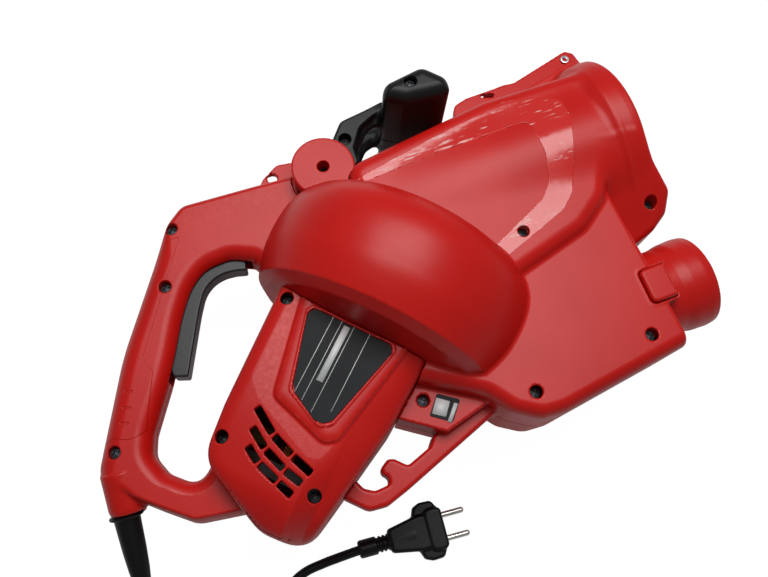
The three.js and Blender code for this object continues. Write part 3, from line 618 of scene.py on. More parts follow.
def turned(profile: Sequence[Spot], place: Matrix, sides: int = 48) -> tuple[Array, Array]:
    """Surface of revolution: a point at angle a is (radius cos a, radius sin a, height).

    Args:
        profile: rows of (height, radius); the first and the last lie on the axis.
        place: carries local Z onto the axis.
        sides: points in each ring.

    Returns:
        Points and faces.
    """
    profile = np.asarray(profile, float)
    angle = np.linspace(0, 2 * math.pi, sides, endpoint=False)
    ring = np.stack([np.cos(angle), np.sin(angle)], -1)
    inner = profile[1:-1]
    heights = np.repeat(inner[:, :1], sides, 1)[..., None]
    points = np.concatenate([inner[:, None, 1:] * ring[None], heights], -1)
    points = np.vstack([points.reshape(-1, 3), [0, 0, profile[0, 0]], [0, 0, profile[-1, 0]]])
    quads = [tuple(q) for q in grid_faces(len(inner), sides, wrap=True)]
    first, last = len(points) - 2, len(points) - 1
    top = (len(inner) - 1) * sides
    fans = [(first, (j + 1) % sides, j) for j in range(sides)]
    fans += [(last, top + j, top + (j + 1) % sides) for j in range(sides)]
    matrix = np.array(place)
    return points @ matrix[:3, :3].T + matrix[:3, 3], quads + fans


def slab(corners: Sequence[Spot], low: float, high: float) -> tuple[Array, list]:
    """Closed flat prism on plan corners that run anticlockwise.

    Args:
        corners: the corners.
        low: height of the underside.
        high: height of the top.

    Returns:
        Points and faces.
    """
    count = len(corners)
    points = np.array([(x, y, z) for z in (low, high) for x, y in corners], float)
    sides = [(i, (i + 1) % count, count + (i + 1) % count, count + i) for i in range(count)]
    return points, [tuple(range(count))[::-1], tuple(range(count, 2 * count)), *sides]


def flowing_line(points: Sequence[Place], steps: int = 12) -> Array:
    """Centripetal Catmull-Rom curve through points.

    Its knots are spaced by the square root of the distance from point to point.

    Args:
        points: what it goes through.
        steps: points from each one to the next.

    Returns:
        The curve's points, shape (n, 3).
    """
    points = np.asarray(points, float)
    points = np.vstack([2 * points[0] - points[1], points, 2 * points[-1] - points[-2]])
    line = []
    for a, b, c, d in zip(points, points[1:], points[2:], points[3:]):
        knots = np.cumsum([0, *(math.sqrt(np.linalg.norm(q - p)) for p, q in ((a, b), (b, c), (c, d)))])
        t = np.linspace(knots[1], knots[2], steps, endpoint=False)[:, None]

        def between(first: Array, second: Array, i: int, j: int) -> Array:
            """Point between two, at t between their knots."""
            return ((knots[j] - t) * first + (t - knots[i]) * second) / (knots[j] - knots[i])

        ab, bc, cd = between(a, b, 0, 1), between(b, c, 1, 2), between(c, d, 2, 3)
        line.append(between(between(ab, bc, 0, 2), between(bc, cd, 1, 3), 1, 2))
    return np.vstack([*line, points[-2:-1]])


def tube(line: Array, radii: Array, sides: int = 36) -> tuple[Array, list]:
    """Closed round tube whose rings turn as little as they can.

    Args:
        line: middle of each ring.
        radii: radius of each ring.
        sides: points in each ring.

    Returns:
        Points and faces.
    """
    ahead = np.gradient(line, axis=0)
    ahead /= np.linalg.norm(ahead, axis=1)[:, None]
    angle = np.linspace(0, 2 * math.pi, sides, endpoint=False)[:, None]
    side = np.cross(ahead[0], (0, 0, 1))
    rings = []
    for point, way, radius in zip(line, ahead, radii):
        side = side - way * (side @ way)
        side /= np.linalg.norm(side)
        rings.append(point + radius * (np.cos(angle) * side + np.sin(angle) * np.cross(way, side)))
    last = (len(line) - 1) * sides
    faces = [tuple(q) for q in grid_faces(len(line), sides, wrap=True)]
    return np.vstack(rings), [*faces, tuple(range(sides))[::-1], tuple(range(last, last + sides))]


# ---------------------------------------------------------------- shader maths
class Socket:
    """An output of a shader tree, on which Python's operators add Math nodes."""

    def __init__(self, tree: "ShaderTree", link: bpy.types.NodeSocket) -> None:
        """Keeps the tree that new nodes go into."""
        self.tree, self.link = tree, link

    def _math(self, operation: str, *values: "Socket | float") -> "Socket":
        """One Math node on the values."""
        return self.tree.node("ShaderNodeMath", {"operation": operation}, dict(enumerate(values)))

    def __add__(self, other: "Socket | float") -> "Socket":
        """Sum."""
        return self._math("ADD", self, other)

    def __mul__(self, other: "Socket | float") -> "Socket":
        """Product."""
        return self._math("MULTIPLY", self, other)

    def __sub__(self, other: "Socket | float") -> "Socket":
        """Difference."""
        return self._math("SUBTRACT", self, other)

    def __rsub__(self, other: float) -> "Socket":
        """Difference from a number."""
        return self._math("SUBTRACT", other, self)

    __radd__, __rmul__ = __add__, __mul__

    def ramp(self, low: float, high: float) -> "Socket":
        """Rises smoothly from 0 at low to 1 at high."""
        settings = {"interpolation_type": "SMOOTHSTEP"}
        return self.tree.node("ShaderNodeMapRange", settings, {0: self, 1: low, 2: high, 3: 0.0, 4: 1.0})

    def absolute(self) -> "Socket":
        """Size without its sign."""
        return self._math("ABSOLUTE", self)

    def wave(self) -> "Socket":
        """Sine of the value."""
        return self._math("SINE", self)


class ShaderTree:
    """The node tree of a new material or world while it is written."""

    def __init__(self, owner: bpy.types.Material | bpy.types.World, shader: str = "Principled BSDF") -> None:
        """Turns nodes on, which gives the owner its shader and its output."""
        owner.use_nodes = True
        self.owner, self.nodes, self.links = owner, owner.node_tree.nodes, owner.node_tree.links
        self.shader = self.nodes[shader]

    def node(self, kind: str, settings: Mapping | None = None, values: Mapping | None = None,
             output: int | str = 0) -> Socket:
        """Adds a node.

        Args:
            kind: the node's type name.
            settings: its own settings, set first.
            values: numbers, colours or sockets for its inputs, by index or name.
            output: which output is handed back.

        Returns:
            The chosen output.
        """
        made = self.nodes.new(kind)
        for key, value in (settings or {}).items():
            setattr(made, key, value)
        for key, value in (values or {}).items():
            self.feed(made.inputs[key], value)
        return Socket(self, made.outputs[output])

    def feed(self, target: bpy.types.NodeSocket, value: object) -> None:
        """Links a socket or sets a plain value.

        Args:
            target: the input that is fed.
            value: a socket, number or colour.
        """
        if isinstance(value, Socket):
            self.links.new(value.link, target)
        else:
            target.default_value = value

    def set(self, **values: object) -> None:
        """Feeds the shader's inputs, named with underscores for spaces."""
        for key, value in values.items():
            self.feed(self.shader.inputs[key.replace("_", " ")], value)

    def place(self) -> Socket:
        """Object coordinates."""
        return self.node("ShaderNodeTexCoord", output="Object")

    def mapped(self, **values: Place) -> Socket:
        """Object coordinates through a Mapping node with the given Rotation or Scale."""
        return self.node("ShaderNodeMapping", {}, {"Vector": self.place(), **values})

    def attribute(self, name: str) -> Socket:
        """The number that the mesh stores under a name."""
        return self.node("ShaderNodeAttribute", {"attribute_name": name}, output="Fac")

    def noise(self, scale: float, detail: float = 2.0, place: Socket | None = None) -> Socket:
        """Noise from 0 to 1; its features are about 1 / scale metres across."""
        values = {"Vector": place or self.place(), "Scale": scale, "Detail": detail}
        return self.node("ShaderNodeTexNoise", {}, values)

    def mix(self, amount: Socket | float, first: object, second: object) -> Socket:
        """Colour that goes from the first to the second."""
        return self.node("ShaderNodeMix", {"data_type": "RGBA"}, {0: amount, 6: first, 7: second}, output=2)

    def bump(self, height: Socket, distance: float, strength: float = 1.0) -> Socket:
        """Normal bent by a height."""
        values = {"Height": height, "Distance": distance, "Strength": strength}
        return self.node("ShaderNodeBump", {}, values)


def srgb(red: float, green: float, blue: float) -> Colour:
    """Linear colour of an sRGB one given from 0 to 255.

    Args:
        red: red part.
        green: green part.
        blue: blue part.

    Returns:
        Red, green, blue and full cover.
    """
    parts = np.array([red, green, blue]) / 255
    linear = np.where(parts <= 0.04045, parts / 12.92, ((parts + 0.055) / 1.055) ** 2.4)
    return (*(float(v) for v in linear), 1.0)


@dataclass(frozen=True)
class MouldedPlastic:
    """Injection-moulded plastic: flow clouds, a spark-eroded grain, rubbed outer edges and painted shade in
    inner corners.

    A panel's edge, where the mesh stores one, shows as a fine dark line and a step in height.
    """

    name: str
    colour: Colour
    # darker tone of the plastic: for its flow clouds and panel lines, and for the painted shade in inner
    # corners
    shade: Colour
    worn: Colour
    roughness: float = 0.46
    grain: float = 0.00004
    specular: float = 0.4
    step: float = 8.0

    def build(self) -> bpy.types.Material:
        """Makes the material.

        Returns:
            The material.
        """
        tree = ShaderTree(bpy.data.materials.new(self.name))
        clouds = tree.noise(14.0, 3.0)
        fine = tree.noise(900.0, 2.0)
        specks = tree.noise(260.0, 1.0)
        bend = tree.attribute("bend")
        edge = bend.ramp(0.10, 0.9) * specks.ramp(0.35, 0.75)
        colour = tree.mix(clouds.ramp(0.25, 0.8) * 0.55, self.colour, self.shade)
        colour = tree.mix(edge * 0.35, colour, self.worn)
        # painted shade: where the mesh bends inwards, in inner corners and creases, the colour goes towards
        # the darker tone
        colour = tree.mix((0.0 - bend).ramp(0.15, 0.9) * 0.3, colour, self.shade)
        panel = tree.attribute("panel") - PANEL_SHIFT
        seam = 1.0 - panel.absolute().ramp(0.15, 0.45)
        colour = tree.mix(seam * 0.45, colour, self.shade)
        rough = fine * 0.10 + clouds * 0.06 + (self.roughness - 0.08) - edge * 0.10
        relief = fine + specks * 0.5 - panel.ramp(-0.35, 0.35) * self.step
        tree.set(Base_Color=colour, Roughness=rough, Normal=tree.bump(relief, self.grain),
                 Specular_IOR_Level=self.specular)
        return tree.owner


@dataclass(frozen=True)
class PolishedPlastic:
    """Glossy moulded band with fine pale streaks that run across it: rubbed marks, their pale colour partly a
    painted reflection of the light.
    """

    name: str
    colour: Colour
    scuff_and_sheen: Colour
    turn: Place = (0.0, 0.0, -0.147)
    stretch: Place = (0.14, 1.0, 1.0)

    def build(self) -> bpy.types.Material:
        """Makes the material.

        Returns:
            The material.
        """
        tree = ShaderTree(bpy.data.materials.new(self.name))
        place = tree.mapped(Rotation=self.turn, Scale=self.stretch)
        lines = tree.noise(420.0, 4.0, place)
        patches = tree.noise(55.0, 2.0)
        # pale streaks: rubbed marks that are rougher, and painted reflection of the light on the gloss in
        # their pale colour
        scuffs_and_sheen = lines.ramp(0.56, 0.66) * patches.ramp(0.44, 0.58)
        haze = tree.noise(30.0, 3.0).ramp(0.35, 0.75)
        colour = tree.mix(scuffs_and_sheen * 0.75, self.colour, self.scuff_and_sheen)
        tree.set(Base_Color=colour, Roughness=haze * 0.10 + 0.10 + scuffs_and_sheen * 0.4,
                 Normal=tree.bump(tree.noise(60.0, 2.0) + lines * 0.1, 0.0002))
        return tree.owner


@dataclass(frozen=True)
class PlatedMetal:
    """Plated metal with drawn streaks along one way and dull patches."""

    name: str
    colour: Colour
    dull: Colour
    roughness: float = 0.28
    streaks: Place = (1.0, 1.0, 12.0)
    metallic: float = 1.0

    def build(self) -> bpy.types.Material:
        """Makes the material.

        Returns:
            The material.
        """
        tree = ShaderTree(bpy.data.materials.new(self.name))
        lines = tree.noise(700.0, 3.0, tree.mapped(Scale=self.streaks))
        patches = tree.noise(120.0, 2.0)
        colour = tree.mix(patches.ramp(0.4, 0.8) * 0.6, self.colour, self.dull)
        rough = patches * 0.2 + (self.roughness - 0.08) + lines * 0.08
        tree.set(Base_Color=colour, Metallic=self.metallic, Roughness=rough, Normal=tree.bump(lines, 0.00003))
        return tree.owner


@dataclass(frozen=True)
class Banded:
    """Stacked sheet or wound wire: even bands along the motor axis."""

    name: str
    colour: Colour
    groove: Colour
    pitch: float
    metallic: float = 1.0

    def build(self) -> bpy.types.Material:
        """Makes the material.

        Returns:
            The material.
        """
        tree = ShaderTree(bpy.data.materials.new(self.name))
        along = tree.node("ShaderNodeSeparateXYZ", {}, {0: tree.mapped(Rotation=(0.0, 0.0, -MOTOR_TURN))})
        bands = (along * (2 * math.pi / self.pitch)).wave()
        colour = tree.mix(bands.ramp(0.2, 0.95), self.colour, self.groove)
        tree.set(Base_Color=colour, Metallic=self.metallic, Roughness=tree.noise(300.0) * 0.2 + 0.3,
                 Normal=tree.bump(0.0 - bands, 0.0001))
        return tree.owner


@dataclass(frozen=True)
class Foil:
    """Printed foil: satin, very slightly uneven where it was rubbed down."""

    name: str
    colour: Colour
    second: Colour
    roughness: float = 0.35
    specular: float = 0.5

    def build(self) -> bpy.types.Material:
        """Makes the material.

        Returns:
            The material.
        """
        tree = ShaderTree(bpy.data.materials.new(self.name))
        waves = tree.noise(45.0, 2.0)
        grain = tree.noise(1500.0, 1.0)
        tree.set(Base_Color=tree.mix(waves.ramp(0.3, 0.8), self.colour, self.second),
                 Roughness=grain * 0.12 + self.roughness, Specular_IOR_Level=self.specular,
                 Normal=tree.bump(waves + grain * 0.05, 0.0002))
        return tree.owner


FINISHES = {
    Slot.RED: MouldedPlastic("moulded red", srgb(196, 24, 18), srgb(178, 15, 12), srgb(212, 60, 52), 0.36,
                             specular=0.28),
    Slot.BLACK: MouldedPlastic("moulded charcoal", srgb(10, 11, 13), srgb(7, 8, 9), srgb(40, 42, 46), 0.42,
                               specular=0.28),
    Slot.TRIGGER: MouldedPlastic("satin charcoal", srgb(27, 30, 33), srgb(20, 22, 24), srgb(64, 70, 74), 0.36,
                                 specular=0.33),
    Slot.FAN: MouldedPlastic("fan plastic", srgb(44, 46, 50), srgb(34, 35, 38), srgb(80, 82, 84), 0.5),
    # the nylon parts are coloured a dark red-brown that stands in for the shade inside the red housing:
    # painted shade
    Slot.NYLON: MouldedPlastic("moulded nylon", srgb(46, 22, 20), srgb(36, 16, 14), srgb(70, 40, 36), 0.5),
    Slot.CARBON: MouldedPlastic("pressed carbon", srgb(34, 34, 35), srgb(24, 24, 25), srgb(70, 70, 72), 0.6),
    Slot.RUBBER: MouldedPlastic("lead rubber", srgb(5, 5, 6), srgb(3, 3, 4), srgb(22, 23, 24), 0.4,
                                specular=0.25),
    Slot.PLATE: Foil("plate foil", srgb(30, 32, 34), srgb(20, 22, 24), 0.55, 0.2),
    Slot.LABEL: Foil("label print", srgb(216, 217, 216), srgb(200, 202, 203), 0.4),
    # dull zinc, darkened so that screws deep in their wells read dark: partly painted shade
    Slot.STEEL: PlatedMetal("dull zinc plate", srgb(80, 82, 85), srgb(58, 60, 62), 0.5),
    Slot.PIN: PlatedMetal("nickel plate", srgb(205, 202, 196), srgb(160, 156, 150), 0.24, (12.0, 1.0, 12.0)),
    Slot.BRASS: PlatedMetal("plain brass", srgb(84, 62, 36), srgb(58, 40, 22), 0.5),
    Slot.LAMINATION: Banded("stacked sheet", srgb(150, 153, 157), srgb(70, 72, 76), 0.0014),
    Slot.COPPER: Banded("enamelled wire", srgb(186, 112, 66), srgb(96, 48, 26), 0.0012),
}
BRIGHT_FINISH = PlatedMetal("bright zinc plate", srgb(206, 209, 214), srgb(160, 163, 167), 0.3)
# near-black steel for bolts and pins down holes: painted shade
SHADE_STEEL_FINISH = PlatedMetal("blackened steel", srgb(40, 40, 42), srgb(24, 24, 26), 0.55)
BAND_FINISH = PolishedPlastic("polished red", srgb(200, 40, 36), srgb(236, 196, 190))


class Workshop:
    """Puts finished meshes into the scene, each under the empty of the body that carries it."""

    def __init__(self) -> None:
        """Makes every material once."""
        self.materials = {slot: finish.build() for slot, finish in FINISHES.items()}
        self.bright, self.dark, self.band = BRIGHT_FINISH.build(), SHADE_STEEL_FINISH.build(), BAND_FINISH.build()

    def add(self, name: str, points: Array, faces: Sequence, slot: Slot, body: Body,
            replaces: Sequence[str] = (), material: bpy.types.Material | None = None) -> bpy.types.Object:
        """Adds one piece from drawing points and faces, shaded smooth.

        Args:
            name: the piece's name.
            points: vertices in drawing millimetres.
            faces: vertex numbers of each face.
            slot: the record's slot for its finish.
            body: the body that carries it.
            replaces: construction nodes that it stands for.
            material: its material, where it isn't the slot's own.

        Returns:
            The new object.
        """
        mesh = bpy.data.meshes.new(name)
        mesh.from_pydata(to_row(points), [], faces)
        mesh.polygons.foreach_set("use_smooth", np.ones(len(mesh.polygons), bool))
        mesh.materials.append(material or self.materials[slot])
        mesh.update()
        piece = bpy.data.objects.new(name, mesh)
        bpy.context.scene.collection.objects.link(piece)
        self.enter(piece, slot, body, replaces)
        return piece

    def enter(self, piece: bpy.types.Object, slot: Slot, body: Body, replaces: Sequence[str]) -> None:
        """Hangs the piece under its body's empty, hides the nodes that it replaces, and logs it.

        Args:
            piece: the object.
            slot: not used.
            body: the body that carries it.
            replaces: construction nodes that it stands for.
        """
        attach(piece, body.value)
        if replaces:
            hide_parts(*replaces)
        LOG.info("%s rides on %s", piece.name, body.value)

    def add_skin(self, name: str, made: Skin, slot: Slot, body: Body, replaces: Sequence[str] = (),
                 distance: Field | None = None, panels: Field | None = None,
                 material: bpy.types.Material | None = None) -> bpy.types.Object:
        """Adds a skin with its own normals, and stores on it what its material reads.

        Args:
            name: the piece's name.
            made: the skin.
            slot: the record's slot for its finish.
            body: the body that carries it.
            replaces: construction nodes that it stands for.
            distance: its field, from which each vertex stores how sharply it bends.
            panels: field from which each vertex stores how far it is from a panel's edge.
            material: its material, where it isn't the slot's own.

        Returns:
            The new object.
        """
        piece = self.add(name, made.points, made.faces, slot, body, replaces, material)
        piece.data.normals_split_custom_set_from_vertices(made.normals.tolist())
        if distance is not None:
            bend = gradient(distance, made.points, BEND_STEP)[2]
            self.store(piece, "bend", np.clip(bend, -MOST_BEND, MOST_BEND))
        if panels is not None:
            away = np.clip(panels(*made.points.T), 1 - PANEL_SHIFT, PANEL_SHIFT - 1)
            self.store(piece, "panel", away + PANEL_SHIFT)
        LOG.info("%s has %d faces", name, len(made.faces))
        return piece

    def store(self, piece: bpy.types.Object, name: str, values: Array) -> None:
        """Stores a number on each vertex, for a material to read."""
        layer = piece.data.attributes.new(name, "FLOAT", "POINT")
        layer.data.foreach_set("value", values.astype(np.float32))

    def sharpen(self, piece: bpy.types.Object, angle: float = 35.0) -> bpy.types.Object:
        """Marks edges sharper than an angle in degrees, so that flat faces meet crisply.

        Args:
            piece: what is marked.
            angle: least turn from face to face.

        Returns:
            The same piece.
        """
        mesh = piece.data
        normals = np.zeros(3 * len(mesh.polygons))
        mesh.polygons.foreach_get("normal", normals)
        normals = normals.reshape(-1, 3)
        edges = np.zeros(len(mesh.loops), np.int32)
        mesh.loops.foreach_get("edge_index", edges)
        counts = np.zeros(len(mesh.polygons), np.int32)
        mesh.polygons.foreach_get("loop_total", counts)
        owner = np.repeat(np.arange(len(mesh.polygons)), counts)
        order = np.argsort(edges, kind="stable")
        first = np.searchsorted(edges[order], np.arange(len(mesh.edges)))
        second = np.minimum(first + 1, len(order) - 1)
        turn = (normals[owner[order[first]]] * normals[owner[order[second]]]).sum(1)
        layer = mesh.attributes.get("sharp_edge") or mesh.attributes.new("sharp_edge", "BOOLEAN", "EDGE")
        layer.data.foreach_set("value", turn < math.cos(math.radians(angle)))
        return piece


# ---------------------------------------------------------------- housing halves
@dataclass(frozen=True)
class Housing:
    """The two moulded halves: fan drum, suction duct, shoulder, outlet chamber, D-handle, hook and lug."""

    drum_profile: Outline = (
        (-12.5, 40, 8), (-12, 66, SOFT), (-7.5, 88, 8), (-1.6, 97.4, 1.4), (8, 101, SOFT), (20, 104.5, SOFT),
        (38, 106, SOFT), (54, 105, SOFT), (66, 101.5, SOFT), (76, 94.5, SOFT), (83, 85, SOFT), (88, 71, SOFT),
        (91, 50, SOFT),
    )
    drum_cavity: Outline = (
        (-8.5, 40, 6), (-4, 85, SOFT), (1, 94, SOFT), (10, 98, SOFT), (22, 101.4, SOFT), (38, 103, SOFT),
        (53, 102, SOFT), (64, 98.8, SOFT), (73, 92, SOFT), (80, 82.5, SOFT), (85, 69, SOFT), (88, 48, 6),
    )
    duct_profile: Outline = ((20, 51, 20), (110, 57, SOFT), (200, 61.5, 6), (206, 65, 3))
    rim_profile: Outline = ((192, 58, 3), (203, 65.5, 8), (214, 67, 8), (219, 67, 1.5), (221, 65.6, 1.5))
    tube_profile: Outline = ((150, 34.3, 2), (206, 34.3, 8), (214, 35.9, 8), (226, 36.5, 8), (233, 35.6, 2))
    duct_bore: Outline = ((30, 50, 4), (110, 54, SOFT), (196, 58.2, 4), (200, 58.4, 1))
    mouth_bore: Outline = ((197, 50, 1), (204, 62, 2), (245, 62, 0))
    tube_bore: Outline = ((170, 31.5, 1), (240, 31.5, 0))
    eye_bore: Outline = ((70, 40, 1), (118, 40, 1))
    shoulder: Outline = (
        (0, 86, 16), (0, 0, 16), (40, -42, 20), (88, -38, 30), (150, -22, 24), (176, -4, 24), (196, 36, 30),
        (212, 74, 20), (204, 101, 18), (120, 102, 30),
    )
    chamber: Outline = (
        (-40, -58, 14), (-8, -83, 20), (33, -109, 20), (46, -127, 20), (64, -139, 20), (82, -140.5, 20),
        (194, -126.5, 12), (194, 4, 3), (140, 20, 20), (20, 14, 20),
    )
    chamber_end: Spot = (186.6, -117)  # a point of its end wall
    chamber_slant: float = 0.043  # how far that wall draws back for each millimetre of Y
    chamber_cavity: Outline = (
        (-22, -52, 12), (-3, -79, 16), (36, -106, 20), (62, -134, 26), (82, -136.5, 20), (181, -124.5, 10),
        (181, -42, 10), (60, -40, 12),
    )
    lug: Outline = (
        (160, -20, 4), (186, -42, 3), (213, -34.5, 8), (224, -27, 8), (230, -13, 8), (222, 14, 4),
        (216, 34, 4), (180, 40, 4),
    )
    lug_top: Place = (183, 1, 34)  # a point of the lug's sloping top
    lug_rise: Spot = (0.3, 0.6)  # how much that top rises along X and along Y
    flange: Outline = (
        (60, 92, 3), (96, 112, 5), (107, 116, 4), (112, 127, 7), (124, 130, 6), (160, 131, 8), (168, 130, 6),
        (222, 143.5, 4), (228, 139, 3), (231, 124, 4), (205, 96, 4),
    )
    ledge: Outline = (
        (96, 96, 3), (101, 107, 4), (118, 112.5, 6), (152, 113.5, 8), (196, 123, 8), (222, 131, 4),
        (226, 118, 4), (205, 96, 4),
    )
    flange_slot: Outline = ((135.6, 126.6, 2.2), (138, 129.6, 2.2), (148.6, 126.4, 2.2), (146, 123.2, 2.2))
    pocket: Outline = (
        (-50, -84, 3), (-29.5, -101, 2), (0, -122, 2), (33, -114, 2), (45, -104, 3), (-5, -70, 3),
    )
    loop: Outline = (
        (46, -119, 3), (-38, -148.3, 14), (-57, -154, 9), (-71, -152.5, 9), (-90, -133, 3), (-82, -122, 3),
        (-73, -127.5, 3), (-69, -136.5, 6), (-62, -141, 6), (-51, -140.3, 2.5), (-50, -135.5, 2),
        (-53.6, -131.6, 2.2), (-52.6, -127.6, 2.4), (-46, -123.4, 2.6), (-41.4, -124.8, 2.5),
        (-33.5, -132.8, 2.5), (-14, -126.2, 3), (-9, -120, 3), (10, -112, 3), (40, -100, 3),
    )
    eyelet: Outline = ((-70, 106, 4), (-58, 119, 7), (-44, 127, 8), (-26, 124, 6), (-24, 104, 4))
    eyelet_at: Spot = (-51, 117)
    handle: Outline = (
        (-20, 109, 6), (-62, 112, 60), (-126, 115.5, 16), (-141, 104.5, 26), (-202, 16, 220),
        (-240.5, -58, 30), (-240.5, -71, 6), (-221, -86.5, 8), (-205, -101, 12), (-186, -117, 16),
        (-146, -124, 8), (-100, -90, 10), (-20, -20, 10),
    )
    handle_hole: Outline = (
        (-88, 52, 4), (-104, 59.5, 20), (-124, 58, SOFT), (-137.5, 48, SOFT), (-150.5, 29.5, SOFT),
        (-169.5, -7, SOFT), (-196, -47, 20), (-201, -61, 14), (-195, -76, 14), (-176, -93, 16),
        (-150, -68, 10), (-60, -10, 4),
    )
    nozzle: Outline = ((-26, 13.6, 1), (0, 13.4, 1), (3.5, 12.6, 1.6))
    nozzle_at: Place = (-229.0, -87.5, 0.0)
    panel: Outline = (
        (-148, 82, 4), (-140, 88, 4), (-134, 87.5, 0.6), (-186, 7, 2), (-185, 2, 1), (-182, -5, 1),
        (-199, -44, 1), (-206, -46, 1), (-212, -46, 1), (-215.5, -44.5, 1), (-222, -41, 1), (-232, -43, 1),
        (-260, -40, 1), (-260, 60, 1), (-180, 110, 1),
    )
    notches: Sequence[Spot] = ((-202.5, -13), (-207, -24), (-211.5, -34))
    notch_half: Spot = (3.0, 0.9)
    notch_turn: float = 0.35
    upper_rim: float = 7.5  # how wide the D-handle's outer rim is rounded in plan, above the grip
    grip_rim: float = 15.0  # the same along the grip
    foot_rim: float = 4.0  # the same at its foot
    grip_span: Spot = (95, 75)  # from where to where along Y the rim widens to the grip's
    foot_span: Spot = (-60, -85)  # and from where to where it narrows to the foot's
    inner_rim: Spot = (12.0, 14.0)  # the rim towards the opening, in plan and in height
    trigger_well: Outline = (
        (-89, 53, 2), (-92, 43, 2), (-109, 47, 8), (-121, 44, 8), (-131, 33, 8), (-149, 3, 6), (-157, -18, 3),
        (-175, -15.5, 3), (-181, 4, 6), (-158, 42, 12), (-138, 68, 18), (-113, 75, 12), (-89, 72, 4),
    )
    cover_room: Outline = (
        (30, 74.5, 14), (-100.5, 67.5, 60), (-139.5, 62.5, 26), (-165.5, 5.5, 30), (-163.5, -27.5, 22),
        (-62.5, -44.5, 60), (30, -48.5, 14),
    )
    latch_pocket: Outline = ((172.5, -65.5, 5), (194, -65.5, 1.5), (194, -92.5, 1.5), (172.5, -92.5, 5))
    latch_slots: Sequence[Spot] = ((194.5, -69.5), (195.5, -88))
    latch_slot: Outline = ((-3, -1.6, 0.5), (3, -1.6, 0.5), (3, 1.6, 0.5), (-3, 1.6, 0.5))
    band: Outline = (
        (-6, 70.5, 1), (60, 82.5, 60), (133, 94.5, 14), (160, 89, 12), (175, 81, 8), (174.5, 64, 20),
        (162, 27, 20), (151, 6, 12), (139, -4, 20), (85, -23, 1), (76, -14, 1), (128, 9.5, 12), (138, 20, 14),
        (143, 40, 16), (143.5, 71.5, 9), (71, 71.5, 60), (2, 67.5, 1),
    )
    screws: Sequence[Place] = (
        (104, -9, 51), (162, -112, 44), (66, -120, 42), (-138, 96, 19), (-155.7, 53.4, 19), (-224, -51, 19),
        (-8, -95, 25), (214, -16, 30),
    )

    def drum(self) -> Field:
        """Fan drum, turned about the motor axis."""
        return lathe(self.drum_profile, DRUM_AT, MOTOR_TURN)

    def ducts(self) -> Field:
        """Everything on the air side of the drum, joined with small fillets.

        Returns:
            The signed distance.
        """
        duct, rim = lathe(self.duct_profile, (0, DUCT_Y)), lathe(self.rim_profile, (0, INLET_Y))
        outlet = lathe(self.tube_profile, (0, OUTLET_Y))
        shoulder = prism(self.shoulder, -SHOULDER_FACE, SHOULDER_FACE, 11, 9)
        chamber = prism(self.chamber, -CHAMBER_FACE, CHAMBER_FACE, 10, 12)
        lug = prism(self.lug, -LUG_FACE, OPEN, 3)
        flange = prism(self.flange, -5, 5, 1.2)
        eyelet = prism(self.eyelet, -3, 3, 1)
        hole = pillar(self.eyelet_at, 4, -OPEN, OPEN)
        pocket = prism(self.pocket, -POCKET_FACE, POCKET_FACE, 1.6)
        loop = prism(self.loop, -12, 12, 3)
        ledge = prism(self.ledge, -13, 13, 1.6)
        slot = prism(self.flange_slot, -OPEN, OPEN, 0.3)
        end_x, end_y = self.chamber_end
        (top_x, top_y, top_z), (rise_x, rise_y) = self.lug_top, self.lug_rise
        steep = math.sqrt(1 + rise_x**2 + rise_y**2)
        boss = pillar(PIVOT_AT, 23, -14, 14)

        def distance(x: Array, y: Array, z: Array) -> Array:
            """Signed distance at the points."""
            air = join(join(duct(x, y, z), rim(x, y, z), 2), shoulder(x, y, z), 7)
            body = carve(chamber(x, y, z), end_x - self.chamber_slant * (y - end_y) - x, 4)
            slope = top_z + rise_x * (x - top_x) + rise_y * (y - top_y)
            block = carve(lug(x, y, z), (slope - z) / steep, 5)
            low = join(join(body, outlet(x, y, z), 2), block, 2)
            hook = join(join(pocket(x, y, z), loop(x, y, z), 1.5), boss(x, y, z), 1)
            ring = carve(eyelet(x, y, z), hole(x, y, z), 0.8)
            tabs = carve(join(join(flange(x, y, z), ledge(x, y, z), 1.2), ring, 1), slot(x, y, z), 0.6)
            return join(join(join(air, low, 3.5), hook, 3), tabs, 2.5)

        return distance

    def handle_bar(self) -> Field:
        """D-handle, broadly rounded on its outside and towards the opening.

        Returns:
            The signed distance.
        """
        outer = DistanceTable(rounded(self.handle))
        opening = DistanceTable(rounded(self.handle_hole, steps=12))
        nozzle = spindle(self.nozzle, self.nozzle_at, LeadParts().direction)
        inner_width, inner_drop = self.inner_rim

        def distance(x: Array, y: Array, z: Array) -> Array:
            """Signed distance at the points; the outer rim is widest along the grip."""
            side, level = outer(x, y), np.abs(z) - GRIP_FACE
            along_grip, at_foot = passed(y, *self.grip_span), passed(y, *self.foot_span)
            width = self.upper_rim + (self.grip_rim - self.upper_rim) * along_grip
            width = width - (self.grip_rim - self.foot_rim) * at_foot
            outside = rounded_corner(side, level * width / GRIP_FACE, width)
            inside = rounded_corner(-opening(x, y), level * inner_width / inner_drop, inner_width)
            return join(np.maximum(outside, inside), nozzle(x, y, z), 1.2)

        return distance

    def panel_edges(self) -> Field:
        """Signed distance in plan to the edges of the grip's inlaid panel and its three notches.

        Returns:
            That distance.
        """
        panel = DistanceTable(rounded(self.panel))
        long, short = self.notch_half

        def distance(x: Array, y: Array, z: Array) -> Array:
            """Signed distance at the points, whatever their height."""
            away = panel(x, y)
            for at in self.notches:
                u, v = along_across(x, y, at, -self.notch_turn)
                away = np.maximum(away, -np.maximum(np.abs(u) - long, np.abs(v) - short))
            return away

        return distance

